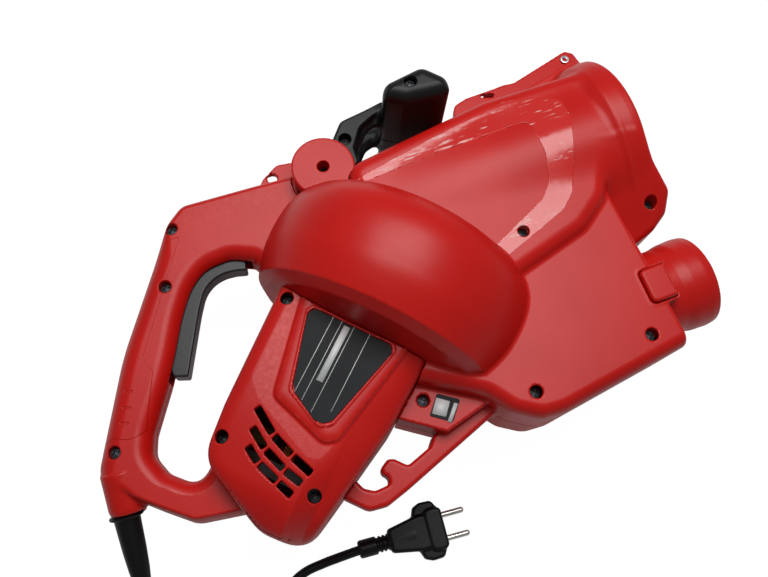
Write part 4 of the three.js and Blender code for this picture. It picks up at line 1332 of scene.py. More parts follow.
    def hollows(self) -> Field:
        """Air path: suction duct and mouth, eye, drum, chamber and outlet tube.

        Returns:
            The signed distance.
        """
        chamber = prism(self.chamber_cavity, WALL - CHAMBER_FACE, CHAMBER_FACE - WALL, 8, 10)
        behind_drum = union(lathe(self.duct_bore, (0, DUCT_Y)), chamber)
        drum = self.drum()
        others = union(
            lathe(self.mouth_bore, (0, INLET_Y)), lathe(self.tube_bore, (0, OUTLET_Y)),
            lathe(self.eye_bore, motor_point(0, SHAFT_OFFSET), MOTOR_TURN),
            lathe(self.drum_cavity, DRUM_AT, MOTOR_TURN),
        )

        def distance(x: Array, y: Array, z: Array) -> Array:
            """Signed distance at the points; duct and chamber end at the drum's outside."""
            return np.minimum(np.maximum(behind_drum(x, y, z), -drum(x, y, z)), others(x, y, z))

        return distance

    def cover_room_field(self) -> Field:
        """Room in which a motor cover stands, with the gap round it."""
        return prism(motor_outline(self.cover_room), -COVER_FACE - GAP, COVER_FACE + GAP, 12, 16)

    def ducts_half(self, side: Side) -> Field:
        """Drum and ducts of one half, with the air path, the rooms, the wells and the latch pocket cut.

        Args:
            side: which half.

        Returns:
            The signed distance.
        """
        near = side is Side.NEAR
        drum, ducts, hollows, room = self.drum(), self.ducts(), self.hollows(), self.cover_room_field()
        disc_room = pillar(PIVOT_AT, 25.4, 14, 26.2, 0.2)
        heads = wells([place for place in self.screws if place[0] > -100], WELL_RADIUS, WELL_DEPTH)
        latch = prism(self.latch_pocket, 34, OPEN, 0.5)
        seat = prism(grown(self.latch_pocket, 1.8), 31, 43.6, 1)
        slots = [prism(moved(self.latch_slot, *at), 26, OPEN, 0.3) for at in self.latch_slots]
        cuts = union(heads, latch, *slots)

        def distance(x: Array, y: Array, z: Array) -> Array:
            """Signed distance at the points."""
            height = side.height(z)
            shape = carve(ducts(x, y, height), room(x, y, height), 0.6)
            shape = join(shape, drum(x, y, height), 2.2)
            if near:
                shape = join(shape, seat(x, y, z), 1.5)
            shape = np.maximum(shape, -hollows(x, y, height))
            shape = carve(shape, disc_room(x, y, height), 0.6)
            if near:
                shape = carve(shape, cuts(x, y, z), 0.8)
            return np.maximum(shape, GAP / 2 - height)

        return distance

    def handle_half(self, side: Side) -> Field:
        """D-handle of one half, ending just inside the drum's wall.

        Args:
            side: which half.

        Returns:
            The signed distance.
        """
        bar, drum, room = self.handle_bar(), self.drum(), self.cover_room_field()
        inner_rooms = union(prism(self.trigger_well, -9.2, 9.2, 0.6), pillar(PIVOT_AT, 25.4, 14, OPEN))
        heads = wells([place for place in self.screws if place[0] < -100], WELL_RADIUS, WELL_DEPTH)
        neck = spindle(((-12, 9.4, 0.5), (60, 9.4, 0.5)), LeadParts().exit_at, LeadParts().direction)

        def distance(x: Array, y: Array, z: Array) -> Array:
            """Signed distance at the points."""
            height = side.height(z)
            shape = np.maximum(bar(x, y, height), -(drum(x, y, height) + 2))
            shape = carve(shape, room(x, y, height), 0.6)
            shape = carve(shape, inner_rooms(x, y, height), 0.7)
            shape = carve(shape, neck(x, y, z), 0.7)
            if side is Side.NEAR:
                shape = carve(shape, heads(x, y, z), 0.8)
            return np.maximum(shape, GAP / 2 - height)

        return distance

    def build(self, shop: Workshop) -> None:
        """Makes the four red pieces, the near ones finer, and the bands.

        Args:
            shop: where the pieces go.
        """
        for side in Side:
            near, nodes = side is Side.NEAR, [f"housing_{side.value}"]
            shape, (low, high) = self.ducts_half(side), side.span(-2.0, 108.0)
            cell, triangles = (1.25, 195000) if near else (1.9, 90000)
            made = skin(shape, (-97, -158, low), (240, 150, high), cell, triangles)
            shop.add_skin(f"drum_and_ducts_{side.value}", made, Slot.RED, Body.HOUSING, nodes, shape)
            shape, (low, high) = self.handle_half(side), side.span(-1.5, 21.0)
            made = skin(shape, (-246, -127, low), (-12, 122, high), 0.9 if near else 1.5, 160000)
            panels = self.panel_edges() if near else None
            shop.add_skin(f"d_handle_{side.value}", made, Slot.RED, Body.HOUSING, nodes, shape, panels)
            self.build_band(shop, side)

    def build_band(self, shop: Workshop, side: Side) -> None:
        """Makes the polished band that is set into one half's shoulder.

        Args:
            shop: where the piece goes.
            side: which half.
        """
        body, strip = self.ducts_half(side), prism(self.band, 30, OPEN, 0.3)
        proud, sunk = 0.35, 1.6

        def distance(x: Array, y: Array, z: Array) -> Array:
            """Shell that follows the shoulder within the band's outline."""
            above = body(x, y, z)
            return np.maximum(np.maximum(above - proud, -above - sunk), strip(x, y, side.height(z)))

        low, high = side.span(36, 62)
        made = skin(distance, (-8, -28, low), (180, 98, high), 0.7, 120000)
        name, nodes = f"polished_band_{side.value}", [f"housing_{side.value}"]
        shop.add_skin(name, made, Slot.RED, Body.HOUSING, nodes, material=shop.band)


# ---------------------------------------------------------------- motor covers
@dataclass(frozen=True)
class MotorCover:
    """Hollow cover of the motor with its cooling slots, and the rating plate in its shield-shaped rim."""

    outline: Outline = (
        (30, 74, 14), (-100, 67, 60), (-139, 62, 26), (-165, 6, 30), (-163, -27, 22), (-62, -44, 60),
        (30, -48, 14),
    )
    inner: Outline = (
        (30, 71.2, 14), (-97.2, 64.2, 60), (-136.2, 59.2, 26), (-162.2, 8.8, 30), (-160.2, -24.2, 22),
        (-62, -41.2, 60), (30, -45.2, 14),
    )
    plate: Outline = (
        (-15, 40, 3), (-15, -19, 3), (-20, -22, 3), (-80, -6, 5), (-86, 2, 6), (-72, 28, 8), (-20, 43, 3),
    )
    plateau: Outline = (
        (40, 62, 4), (-76, 58, 12), (-88.5, 44.5, 8), (-108.5, -2, 5), (-106, -9.5, 4), (-99, -12.5, 6),
        (-47, -23.4, 30), (40, -40, 4),
    )
    vents: Sequence[Sequence[Spot]] = (
        ((-92.5, 45), (-104.9, 25.7), (-111.7, 7.8), (-116.6, -10)),
        ((-106, 41.5), (-115.5, 26.1), (-122.1, 8.3), (-125.2, -7)),
        ((-118.2, 38.6), (-125.6, 25.9), (-131, 8.8), (-134.8, -4.6)),
    )
    vent_half: float = 2.7
    rib_half: float = 1.0
    rib_depth: float = 9.0
    rib_margin: float = 1.3  # how far the ribs' block reaches beyond the slots
    top: float = 53.4
    slope: float = 0.16  # fall of the top for each millimetre outside the plateau
    right_slope: float = 0.3  # added to it on the right of the axis
    right_span: Spot = (8, 22)  # from where to where, to the right of the axis, that sets in
    end_fall: float = 0.016  # further fall, times the square of the way beyond end_from
    end_from: float = 136  # towards the rear
    screws: Sequence[Place] = ((-75, 3.4, 48), (-148, -72, 40), (-103, -131, 40))

    def vent_slots(self) -> list[Field]:
        """Cooling slots: each runs between two points of its row, less half a rib at each end.

        Returns:
            The signed distance of each slot.
        """
        slots = []
        for row in self.vents:
            for first, second in zip(np.array(row), np.array(row)[1:]):
                way = (second - first) / np.linalg.norm(second - first)
                side = self.vent_half * np.array([-way[1], way[0]])
                first, second = first + way * self.rib_half, second - way * self.rib_half
                corners = (first - side, second - side, second + side, first + side)
                slots.append(prism(motor_outline([(*corner, 1.3) for corner in corners]), 20, OPEN, 0.4))
        return slots

    def half(self, side: Side) -> Field:
        """One cover, cut to the drum.

        Args:
            side: which cover.

        Returns:
            The signed distance.
        """
        drum = Housing().drum()
        body = prism(motor_outline(self.outline), -COVER_FACE, COVER_FACE, 13, 17)
        inside = prism(motor_outline(self.inner), WALL - COVER_FACE, COVER_FACE - WALL, 13, 17)
        beyond = DistanceTable(rounded(motor_outline(self.plateau)), 90)
        shield = prism(motor_outline(grown(self.plate, 9.5)), 40, 55.2, 8, 2.4)
        rim = prism(motor_outline(grown(self.plate, 2.2)), 40, 55.9, 0.8)
        seat = prism(motor_outline(grown(self.plate, 0.3)), COVER_FACE, OPEN, 0.3)
        heads, vents = wells(self.screws, WELL_RADIUS, WELL_DEPTH), union(*self.vent_slots())

        def distance(x: Array, y: Array, z: Array) -> Array:
            """Signed distance at the points; falling is the way down to the cover's sloping top."""
            height = side.height(z)
            along, across = along_across(x, y, DRUM_AT, MOTOR_TURN)
            slope = self.slope + self.right_slope * passed(-across, *self.right_span)
            rear = np.maximum(-along - self.end_from, 0)
            lost = slope * np.maximum(beyond(x, y), 0) + self.end_fall * rear**2
            falling = self.top - lost - height
            outer = carve(body(x, y, height), falling, 6)
            if side is Side.NEAR:
                outer = join(join(outer, shield(x, y, height), 2), rim(x, y, height), 0.8)
                outer = carve(outer, seat(x, y, height), 0.5)
            shape = np.maximum(outer, -np.maximum(inside(x, y, height), WALL - falling))
            if side is Side.NEAR:
                slots = vents(x, y, height)
                ribs = np.maximum(slots - self.rib_margin, falling - self.rib_depth)
                shape = carve(np.minimum(shape, np.maximum(ribs, outer)), slots, 0.6)
                shape = carve(shape, heads(x, y, z), 0.8)
            shape = carve(shape, drum(x, y, height) - GAP, 0.5)
            return np.maximum(shape, GAP / 2 - height)

        return distance

    def build(self, shop: Workshop) -> None:
        """Makes both covers.

        Args:
            shop: where the pieces go.
        """
        corners = rounded(motor_outline(self.outline))
        low, high = corners.min(0) - 2, corners.max(0) + 2
        for side in Side:
            near, nodes = side is Side.NEAR, [f"motor_cover_{side.value}"]
            shape, (bottom, top) = self.half(side), side.span(-2, 58 if near else 56)
            made = skin(shape, (*low, bottom), (*high, top), 1.1 if near else 1.5, 150000)
            shop.add_skin(f"{nodes[0]}_shell", made, Slot.RED, Body.HOUSING, nodes, shape)


# ---------------------------------------------------------------- front handle, pivot caps, trigger and latch
@dataclass(frozen=True)
class FrontHandle:
    """Black handle on its pivot: an arm in each half and the bar across them."""

    arm: Outline = (
        (-14, 119, 4), (2, 121, 6), (14, 135, 8), (36, 138, 8), (52, 141, 6), (53, 136, 6), (27, 125, 10),
        (16.5, 110, 6), (16, 98, 4), (12, 94, 4), (-6, 90, 4),
    )
    web: Outline = (
        (-6, 110, 4), (14, 133, 8), (36, 136, 8), (58, 134, 6), (60, 127, 6), (46, 127, 8), (32, 123, 8),
        (20, 110, 6), (10, 96, 4),
    )
    bar: Outline = (
        (42.5, 122, 7), (49, 132.5, 9), (81, 137.5, 10), (95.5, 122, 9), (94.5, 109.5, 7), (82, 110, 8),
        (58, 112.5, 8),
    )
    bar_half: float = 70.0
    arm_low: float = 14.4
    arm_high: float = 25.6
    wells_at: Sequence[Place] = ((67, 126, 70), (12, 119, 25.6))

    def half(self, side: Side) -> Field:
        """One moulded half of the handle.

        Args:
            side: which half.

        Returns:
            The signed distance.
        """
        arm = prism(self.arm, self.arm_low, self.arm_high, 2.2)
        web = prism(self.web, self.arm_low, self.arm_low + 5, 1.5)
        hub = pillar(PIVOT_AT, 23, self.arm_low, self.arm_high, 1.2)
        bore = pillar(PIVOT_AT, 10.1, 0, OPEN)
        bar = prism(self.bar, -self.bar_half, self.bar_half, 10)
        heads = wells(self.wells_at, 4.8, WELL_DEPTH)

        def distance(x: Array, y: Array, z: Array) -> Array:
            """Signed distance at the points."""
            height = side.height(z)
            shape = join(join(arm(x, y, height), web(x, y, height), 7), hub(x, y, height), 2)
            shape = join(carve(shape, bore(x, y, height), 0.5), bar(x, y, height), 8)
            if side is Side.NEAR:
                shape = carve(shape, heads(x, y, z), 0.8)
            return np.maximum(shape, GAP / 2 - height)

        return distance

    def build(self, shop: Workshop) -> None:
        """Makes both halves.

        Args:
            shop: where the pieces go.
        """
        for side in Side:
            shape, (bottom, top) = self.half(side), side.span(-1.5, 72)
            made = skin(shape, (-40, 70, bottom), (99, 146, top), 1.0, 80000)
            name = f"front_handle_{side.value}"
            shop.add_skin(f"{name}_moulding", made, Slot.BLACK, Body.FRONT_HANDLE, [name], shape)


@dataclass(frozen=True)
class PivotCap:
    """Red cap over the handle's pivot, cut straight where the shoulder stands beside it."""

    low: float = 25.9
    face: float = 38.0
    radius: float = 24.4

    def half(self, side: Side) -> Field:
        """One cap.

        Args:
            side: which cap.

        Returns:
            The signed distance.
        """
        cap, stem = pillar(PIVOT_AT, self.radius, self.low, self.face, 1.6), pillar(PIVOT_AT, 9.6, 14.3, 28)
        hole = pillar(PIVOT_AT, 4.6, 21.6, OPEN)
        shoulder = prism(moved(Housing().shoulder, -0.6, 0.6), -52.5, 52.5, 11, 9)
        solid, beside = union(cap, stem), union(Housing().drum(), shoulder)

        def distance(x: Array, y: Array, z: Array) -> Array:
            """Signed distance at the points."""
            height = side.height(z)
            shape = carve(solid(x, y, height), hole(x, y, height), 0.8)
            return carve(shape, beside(x, y, height) - GAP, 0.6)

        return distance

    def build(self, shop: Workshop) -> None:
        """Makes both caps.

        Args:
            shop: where the pieces go.
        """
        for side in Side:
            shape, (bottom, top) = self.half(side), side.span(13, 40)
            made = skin(shape, (-41, 70, bottom), (13, 124, top), 0.8)
            nodes = [f"pivot_disc_{side.value}"]
            shop.add_skin(f"pivot_cap_{side.value}", made, Slot.RED, Body.HOUSING, nodes, shape)


@dataclass(frozen=True)
class Controls:
    """The trigger in the D-handle and the press latch on the outlet tube."""

    trigger: Outline = (
        (-93.5, 55, 1), (-94.5, 48.6, 2), (-103, 51, 20), (-112, 52, SOFT), (-122, 49.8, SOFT),
        (-130.5, 43.5, SOFT), (-138, 31, SOFT), (-151.8, 3.4, 40), (-161, -15, 2), (-171, -11.5, 3),
        (-172, 0, 6), (-151, 36, 12), (-134, 60, 18), (-113, 68, 12), (-94, 66, 4),
    )
    pin_at: Spot = (-101, 60)
    spring_at: Spot = (183, -79)
    latch: Outline = ((173, -66, 5), (193.5, -66, 1.5), (193.5, -92, 1.5), (173, -92, 5))

    def build(self, shop: Workshop) -> None:
        """Makes the trigger, its pin and the latch pad.

        Args:
            shop: where the pieces go.
        """
        trigger = prism(self.trigger, -8, 8, 1.4)
        made = skin(trigger, (-175, -19, -9.5), (-91, 72, 9.5), 0.8)
        shop.add_skin("trigger_bar", made, Slot.TRIGGER, Body.TRIGGER, ["trigger"], trigger)
        rod = ((-7.9, 0), (-7.9, 2.4), (7.9, 2.4), (7.9, 0))
        made = turned(rod, Matrix.Translation((*self.pin_at, 0)), 28)
        # the pin takes the near-black steel: painted shade
        shop.add("trigger_pin_rod", *made, Slot.STEEL, Body.HOUSING, ["trigger_pin"], shop.dark)
        block, room = prism(self.latch, 38, 47.5, 2.4), pillar(self.spring_at, 4.6, 0, 41)

        def pad(x: Array, y: Array, z: Array) -> Array:
            """Latch pad with the spring's room in its underside."""
            return carve(block(x, y, z), room(x, y, z), 0.3)

        made = skin(pad, (171, -94, 36), (196, -64, 49), 0.6)
        shop.add_skin("tube_latch_pad", made, Slot.RED, Body.TUBE_LATCH, ["tube_latch"], pad)


# ---------------------------------------------------------------- mains lead
@dataclass(frozen=True)
class LeadParts:
    """Strain relief, lead, plug and pins."""

    exit_at: Place = (-231.3, -87.5, 0.0)
    direction: Place = (-0.107, -0.957, -0.273)
    radius: float = 3.8
    tail: Sequence[float] = (-9, 10, 30)
    route: Sequence[Place] = (
        (-236.2, -131.5, -12.5), (-238, -146, -17.5), (-239, -162, -28), (-238, -178, -44), (-234, -192, -62),
        (-227, -203.5, -80), (-216.5, -212, -94), (-203, -215.5, -101), (-188, -213, -102),
        (-174, -204.5, -102), (-161, -192.5, -102), (-148, -181.5, -102), (-133, -175.6, -102),
        (-116, -174.6, -102), (-99, -175, -100), (-84.5, -175.6, -97.6),
    )
    real_length: float = 0.33
    guard_profile: Sequence[Spot] = (
        (-8, 8.8), (4.2, 8.9), (4.4, 11.6), (4.9, 12.1), (6.0, 12.1), (6.5, 11.6), (6.7, 9.4), (10, 9.2),
        (30, 8.4), (44, 7.4), (54, 6.2), (58, 5.2), (58.4, 4.2),
    )
    plug_at: Place = (-82.9, -175.6, -97.0)
    plug_turn: float = math.radians(-6.5)
    plug_body: Outline = (
        (23, -9.6, 3), (23, 9.6, 3), (48, 14.4, 8), (58, 14, 3), (58, -14, 3), (48, -14.4, 8),
    )
    plug_face: Outline = (
        (55, -16.6, 6), (55, 16.6, 6), (66, 17.4, 6), (70, 15, 5), (70, -15, 5), (66, -17.4, 6),
    )
    plug_wing: Outline = ((44, 10, 3), (48, 21, 4), (54, 23.6, 5), (64, 23.2, 5), (68, 16, 3), (62, 9, 3))
    boot: Outline = ((-3, 6, 1.5), (-1.5, 7.3, 2), (12, 7.3, 1), (12.8, 5.6, 0.4))
    boot_end: Outline = ((24.6, 7, 2), (46, 8.2, 2))
    rib: Outline = ((0, 5.6, 0.3), (0.4, 6.6, 0.4), (2, 6.7, 0.4), (2.4, 5.6, 0.3))
    ribs_at: Sequence[float] = (14.2, 17.6, 21.0)
    pin_gap: float = 19.0
    pin_radius: float = 2.4
    pin_reach: Spot = (60.4, 89.6)
    pin_tip: float = 2.2

    def centreline(self) -> Array:
        """The lead's middle line from inside the handle to the plug, as drawing points."""
        start = np.array(self.exit_at)
        return flowing_line([*(start + np.array(self.direction) * along for along in self.tail), *self.route])

    def guard(self) -> tuple[Array, list]:
        """Strain relief: a tapering tube with a collar that follows the lead.

        Returns:
            Points and faces.
        """
        line = self.centreline()
        reach = np.cumsum([0, *np.linalg.norm(np.diff(line, axis=0), axis=1)]) + self.tail[0]
        profile = np.array(self.guard_profile)
        stations = np.unique(np.concatenate([profile[:, 0], np.arange(-8, 58, 1.5)]))
        middle = np.stack([np.interp(stations, reach, line[:, axis]) for axis in range(3)], axis=1)
        return tube(middle, np.interp(stations, profile[:, 0], profile[:, 1]))

    def plug_matrix(self) -> Matrix:
        """Carries local Z onto the plug's own axis."""
        turn = Matrix.Rotation(self.plug_turn, 4, "Z") @ Matrix.Rotation(math.pi / 2, 4, "Y")
        return Matrix.Translation(self.plug_at) @ turn

    def plug(self) -> Field:
        """Moulded plug: ribbed boot, widening body, round face and finger wings.

        Returns:
            The signed distance.
        """
        ribs = [corner for at in self.ribs_at for corner in moved(self.rib, at, 0)]
        boot = lathe([*self.boot, *ribs, *self.boot_end], (0, 0))
        body, face = prism(self.plug_body, -8.6, 8.6, 3), prism(self.plug_face, -9.4, 9.4, 2.6)
        mirrored = [(u, -v, radius) for u, v, radius in self.plug_wing]
        wings = [prism(outline, -6.4, 6.4, 2.6) for outline in (self.plug_wing, mirrored)]

        def distance(x: Array, y: Array, z: Array) -> Array:
            """Signed distance at the points."""
            u, v = along_across(x, y, self.plug_at, self.plug_turn)
            height = z - self.plug_at[2]
            shape = join(join(boot(u, v, height), body(u, v, height), 1.5), face(u, v, height), 1.2)
            for wing in wings:
                shape = join(shape, wing(u, v, height), 1.5)
            return shape

        return distance

    def build(self, shop: Workshop) -> None:
        """Makes the lead and everything on it, and says how long it is.

        Args:
            shop: where the pieces go.
        """
        line = to_row(self.centreline())
        curve = bpy.data.curves.new("mains_lead", "CURVE")
        curve.dimensions = "3D"
        curve.bevel_depth = self.radius / 1000
        curve.bevel_resolution = 6
        curve.use_fill_caps = True
        spline = curve.splines.new("POLY")
        spline.points.add(len(line) - 1)
        spline.points.foreach_set("co", np.column_stack([line, np.ones(len(line))]).ravel())
        curve.materials.append(shop.materials[Slot.RUBBER])
        lead = bpy.data.objects.new("mains_lead", curve)
        bpy.context.scene.collection.objects.link(lead)
        shop.enter(lead, Slot.RUBBER, Body.HOUSING, ["mains_cord"])
        LOG.info("lead is %.3f m long", np.linalg.norm(np.diff(line, axis=0), axis=1).sum())
        guard = shop.add("strain_relief", *self.guard(), Slot.RUBBER, Body.HOUSING, ["cord_guard"])
        shop.sharpen(guard)
        shape = self.plug()
        made = skin(shape, (-88, -212, -108), (-5, -150, -85), 0.6, 90000)
        plug = shop.add_skin("plug_moulding", made, Slot.RUBBER, Body.HOUSING, ["plug_body"], shape)
        (start, end), radius = self.pin_reach, self.pin_radius
        quarter = np.linspace(math.pi / 2, 0, 7)
        tip = [(end - self.pin_tip * (1 - math.cos(a)), radius * math.sin(a)) for a in quarter]
        for side, sign in (("left", 1), ("right", -1)):
            shift = Matrix.Translation((0, sign * self.pin_gap / 2, 0))
            made = turned([(start, 0), (start, radius), *tip], self.plug_matrix() @ shift, 28)
            name = f"plug_pin_{side}"
            shop.sharpen(shop.add(f"{name}_plated", *made, Slot.PIN, Body.HOUSING, [name]), 50)
        to_row(self.exit_at).tolist()


# ---------------------------------------------------------------- screws, rivet and print
@dataclass(frozen=True)
class Fasteners:
    """Cross-head screws in their wells and the rivet in the flange."""

    head: float = 4.0  # radius
    height: float = 2.6
    fall: float = 0.7  # how much lower the head's rim stands than its middle would
    recess: float = 1.3  # depth of the cross
    cross_half: float = 0.75
    cross_reach: float = 0.62  # share of the radius
    bed: float = 0.2  # how far the head's underside stands above the well's floor
    handle_screw: Place = (67, 126, 62.2)
    handle_head: float = 3.4
    rivet_at: Place = (218, 135, 0)
    rivet: Sequence[Spot] = (
        (-4.7, 0), (-4.7, 2.6), (5.1, 2.6), (5.1, 3.5), (6.0, 3.8), (6.8, 3.4), (6.9, 2.6), (6.4, 1.7),
        (4, 1.6), (4, 0),
    )

    def screw(self, at: Place, radius: float) -> tuple[Array, Array]:
        """Pan head on a polar grid: its height falls with the square of the radius and dips in the cross.

        Args:
            at: middle of the face that it sits on.
            radius: radius of the head.

        Returns:
            Points and faces.
        """
        x, y, seat = at
        sides, crown = 48, seat + self.height
        angle = np.linspace(0, 2 * math.pi, sides, endpoint=False)
        rings = np.array([0.08, 0.25, 0.4, 0.55, 0.7, 0.85, 0.95, 1.0]) * radius
        r, a = np.meshgrid(rings, angle, indexing="ij")
        u, v = r * np.cos(a), r * np.sin(a)
        arms = (np.abs(u) < self.cross_half) | (np.abs(v) < self.cross_half)
        cross = arms & (r < self.cross_reach * radius)
        top = np.stack([x + u, y + v, crown - self.fall * (r / radius) ** 2 - self.recess * cross], -1)
        skirt = np.stack([x + u[-1], y + v[-1], np.full(sides, seat)], -1)[None]
        rows = np.concatenate([top, skirt]).reshape(-1, 3)
        points = np.vstack([rows, [x, y, crown - self.recess], [x, y, seat]])
        middle, under = len(rows), len(rows) + 1
        last = len(rings) * sides
        faces = [tuple(q)[::-1] for q in grid_faces(len(rings) + 1, sides, wrap=True)]
        faces += [(middle, j, (j + 1) % sides) for j in range(sides)]
        faces += [(under, last + (j + 1) % sides, last + j) for j in range(sides)]
        return points, faces

    def build(self, shop: Workshop) -> None:
        """Makes every visible fastener.

        Args:
            shop: where the pieces go.
        """
        groups = (("housing_screw", Housing().screws), ("cover_screw", MotorCover().screws))
        for group, places in groups:
            for i, (x, y, face) in enumerate(places, 1):
                name, seat = f"{group}_{i}", face - WELL_DEPTH + self.bed
                made = self.screw((x, y, seat), self.head)
                shop.sharpen(shop.add(f"{name}_head", *made, Slot.STEEL, Body.HOUSING, [name]))
        name, made = "front_handle_screw", self.screw(self.handle_screw, self.handle_head)
        shop.sharpen(shop.add(f"{name}_head", *made, Slot.STEEL, Body.FRONT_HANDLE, [name]))
        name, made = "flange_rivet", turned(self.rivet, Matrix.Translation(self.rivet_at), 36)
        shop.sharpen(shop.add(f"{name}_ring", *made, Slot.STEEL, Body.HOUSING, [name], shop.bright))


@dataclass(frozen=True)
class Print:
    """Plain rules and blank fields on the rating plate and on the sticker beside the hook."""

    rules: Sequence[Place] = (  # start, end and place across of each rule, from the drum's centre
        (-13.4, -73.0, 25.6), (-13.4, -76.2, 18.8), (-13.4, -80.6, 9.4), (-13.4, -74.4, -2.6),
    )
    field: Sequence[Spot] = ((-16.6, 16.3), (-59.4, 16.3), (-59.4, 11.6), (-16.6, 11.6))
    rule_half: float = 0.25
    plate_face: float = 55.0
    sticker_square: Sequence[Spot] = ((1.3, -96.6), (-5.8, -106), (2.6, -112), (9.6, -102.6))
    sticker_bar: Sequence[Spot] = ((12, -104.6), (2.4, -115.4), (4.8, -117), (14.4, -106.2))
    sticker_face: float = 25.7

    def build(self, shop: Workshop) -> None:
        """Makes the print as very thin slabs.

        Args:
            shop: where the pieces go.
        """

        def lay(name: str, corners: Sequence[Spot], face: float) -> None:
            """One printed field on a face."""
            shop.add(name, *slab(corners, face - 0.02, face + 0.1), Slot.LABEL, Body.HOUSING)

        for i, (start, end, across) in enumerate(self.rules, 1):
            left, right = across + self.rule_half, across - self.rule_half
            corners = ((start, left), (end, left), (end, right), (start, right))
            lay(f"plate_rule_{i}", [motor_point(*corner) for corner in corners], self.plate_face)
        lay("plate_field", [motor_point(*corner) for corner in self.field], self.plate_face)
        lay("sticker_square", self.sticker_square, self.sticker_face)
        lay("sticker_bar", self.sticker_bar, self.sticker_face)


# ---------------------------------------------------------------- construction nodes that stay in view
KEPT_NODES = {
    Slot.STEEL: ("motor_shaft", "impeller_nut", "bearing_front", "bearing_rear", "trigger_spring",
                 "latch_spring", "pivot_bolt", "pivot_nut"),
    Slot.FAN: ("impeller", "cooling_fan"),
    Slot.LAMINATION: ("armature_core", "stator_core"),
    Slot.COPPER: ("armature_winding", "commutator", "field_coil_near", "field_coil_far"),
    Slot.NYLON: ("stator_clip_near", "stator_clip_far", "bearing_bracket", "switch_body", "capacitor",
                 "terminal_block"),
    Slot.BRASS: ("brush_holder_left", "brush_holder_right"),
    Slot.CARBON: ("carbon_brush_left", "carbon_brush_right"),
    Slot.PLATE: ("rating_plate", "data_sticker"),
}

# bolt and nut down the pivot's hole, coloured near-black as painted shade
SHADE_DARKENED_NODES = ("pivot_bolt", "pivot_nut")


def dress_kept_nodes(shop: Workshop) -> None:
    """Gives each construction node that stays in view its procedural material.

    Args:
        shop: who has the materials.
    """
    for slot, names in KEPT_NODES.items():
        for name in names:
            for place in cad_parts[name].material_slots:
                place.material = shop.dark if name in SHADE_DARKENED_NODES else shop.materials[slot]


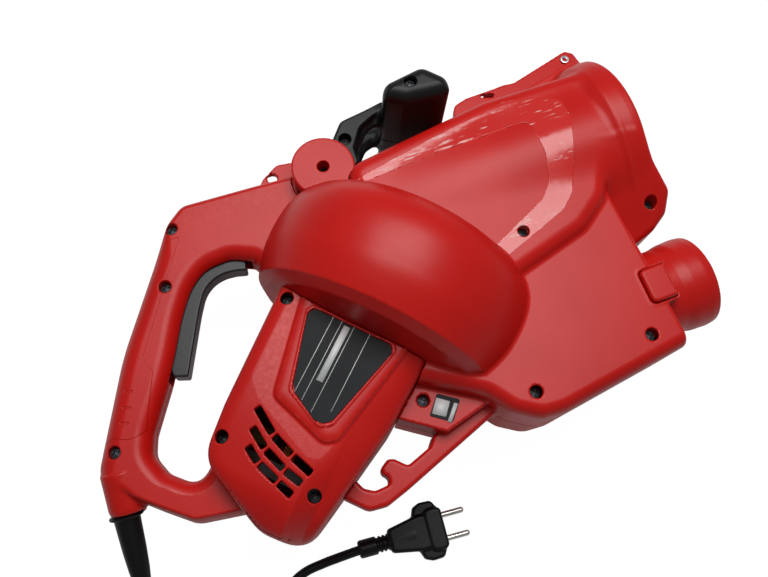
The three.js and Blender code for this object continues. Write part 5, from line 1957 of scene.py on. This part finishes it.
# ---------------------------------------------------------------- camera, floor and light
@dataclass(frozen=True)
class Studio:
    """Pale floor, one soft box and the camera at the photograph's angle; its places are in metres."""

    camera_at: Place = (-0.0929, -0.1604, 0.7143)
    look_at: Place = (0.002, 0.007, 0.106)
    level_turn: float = math.radians(-20.48)
    focal_pixels: float = 820.0
    picture_width: float = 768.0
    sensor: float = 36.0
    rays: Sequence[str] = ("Is Camera Ray", "Is Glossy Ray", "Is Transmission Ray")
    ambient: float = 0.14  # strength of the surroundings for every other ray
    ray_shares: Sequence[float] = (0.86, 0.14, 0.86)  # added to it for each of those rays

    def camera(self) -> None:
        """Camera whose right hand lies along a level direction as seen from above."""
        ahead = (Vector(self.look_at) - Vector(self.camera_at)).normalized()
        level = Vector((math.cos(self.level_turn), math.sin(self.level_turn), 0))
        right = (level - ahead * level.dot(ahead)).normalized()
        matrix = Matrix((right, right.cross(ahead), -ahead)).transposed().to_4x4()
        matrix.translation = self.camera_at
        lens = bpy.data.cameras.new("camera")
        lens.sensor_width = self.sensor
        lens.lens = self.focal_pixels * self.sensor / self.picture_width
        lens.clip_start = 0.01
        view = bpy.data.objects.new("camera", lens)
        view.matrix_world = matrix
        bpy.context.scene.collection.objects.link(view)
        bpy.context.scene.camera = view

    def floor(self) -> None:
        """Large pale floor that shows near white to the camera and keeps the shadow."""
        tree = ShaderTree(bpy.data.materials.new("pale floor"))
        tree.set(Base_Color=srgb(236, 236, 236), Roughness=0.9, Specular_IOR_Level=0.0)
        camera, glossy, through = (tree.node("ShaderNodeLightPath", output=ray) for ray in self.rays)
        share = (camera + glossy * 0.15 + through) * 0.86
        glow = tree.node("ShaderNodeEmission", {}, {"Color": (1, 1, 1, 1), "Strength": 1.14})
        own = Socket(tree, tree.shader.outputs[0])
        surface = tree.node("ShaderNodeMixShader", {}, {0: share, 1: own, 2: glow})
        tree.feed(tree.nodes["Material Output"].inputs["Surface"], surface)
        mesh = bpy.data.meshes.new("floor")
        half = 4.0
        corners = [(-half, -half, 0), (half, -half, 0), (half, half, 0), (-half, half, 0)]
        mesh.from_pydata(corners, [], [(0, 1, 2, 3)])
        mesh.materials.append(tree.owner)
        floor = bpy.data.objects.new("floor", mesh)
        bpy.context.scene.collection.objects.link(floor)

    def lamp(self, name: str, at: Place, size: Spot, power: float) -> None:
        """Soft box that faces the machine.

        Args:
            name: its name.
            at: where it stands.
            size: its two sides in metres.
            power: its power in watts.
        """
        light = bpy.data.lights.new(name, "AREA")
        light.shape = "RECTANGLE"
        light.size, light.size_y = size
        light.energy = power
        box = bpy.data.objects.new(name, light)
        box.location = at
        box.rotation_euler = (Vector(self.look_at) - Vector(at)).to_track_quat("-Z", "Y").to_euler()
        bpy.context.scene.collection.objects.link(box)

    def world(self) -> None:
        """Even pale surroundings, white to the camera."""
        world = bpy.data.worlds.new("surroundings")
        bpy.context.scene.world = world
        tree = ShaderTree(world, "Background")
        strength: Socket | float = self.ambient
        for ray, share in zip(self.rays, self.ray_shares):
            seen = tree.node("ShaderNodeLightPath", output=ray)
            values = {0: seen, 1: share, 2: strength}
            strength = tree.node("ShaderNodeMath", {"operation": "MULTIPLY_ADD"}, values)
        tree.set(Color=(1, 1, 1, 1), Strength=strength)

    def build(self) -> None:
        """Sets the whole stage."""
        self.camera()
        self.floor()
        self.lamp("key", (0.2, 0.36, 1.35), (1.0, 0.75), 15.0)
        self.world()
        bpy.context.scene.view_settings.view_transform = "Standard"


def main() -> None:
    """Builds the stage, then every sub-assembly."""
    logging.basicConfig(level=logging.INFO, format="%(name)s: %(message)s", stream=sys.stdout)
    shop = Workshop()
    Studio().build()
    for kind in (LeadParts, Housing, MotorCover, FrontHandle, PivotCap, Controls, Fasteners, Print):
        kind().build(shop)
    dress_kept_nodes(shop)


if __name__ == "__main__":
    main()
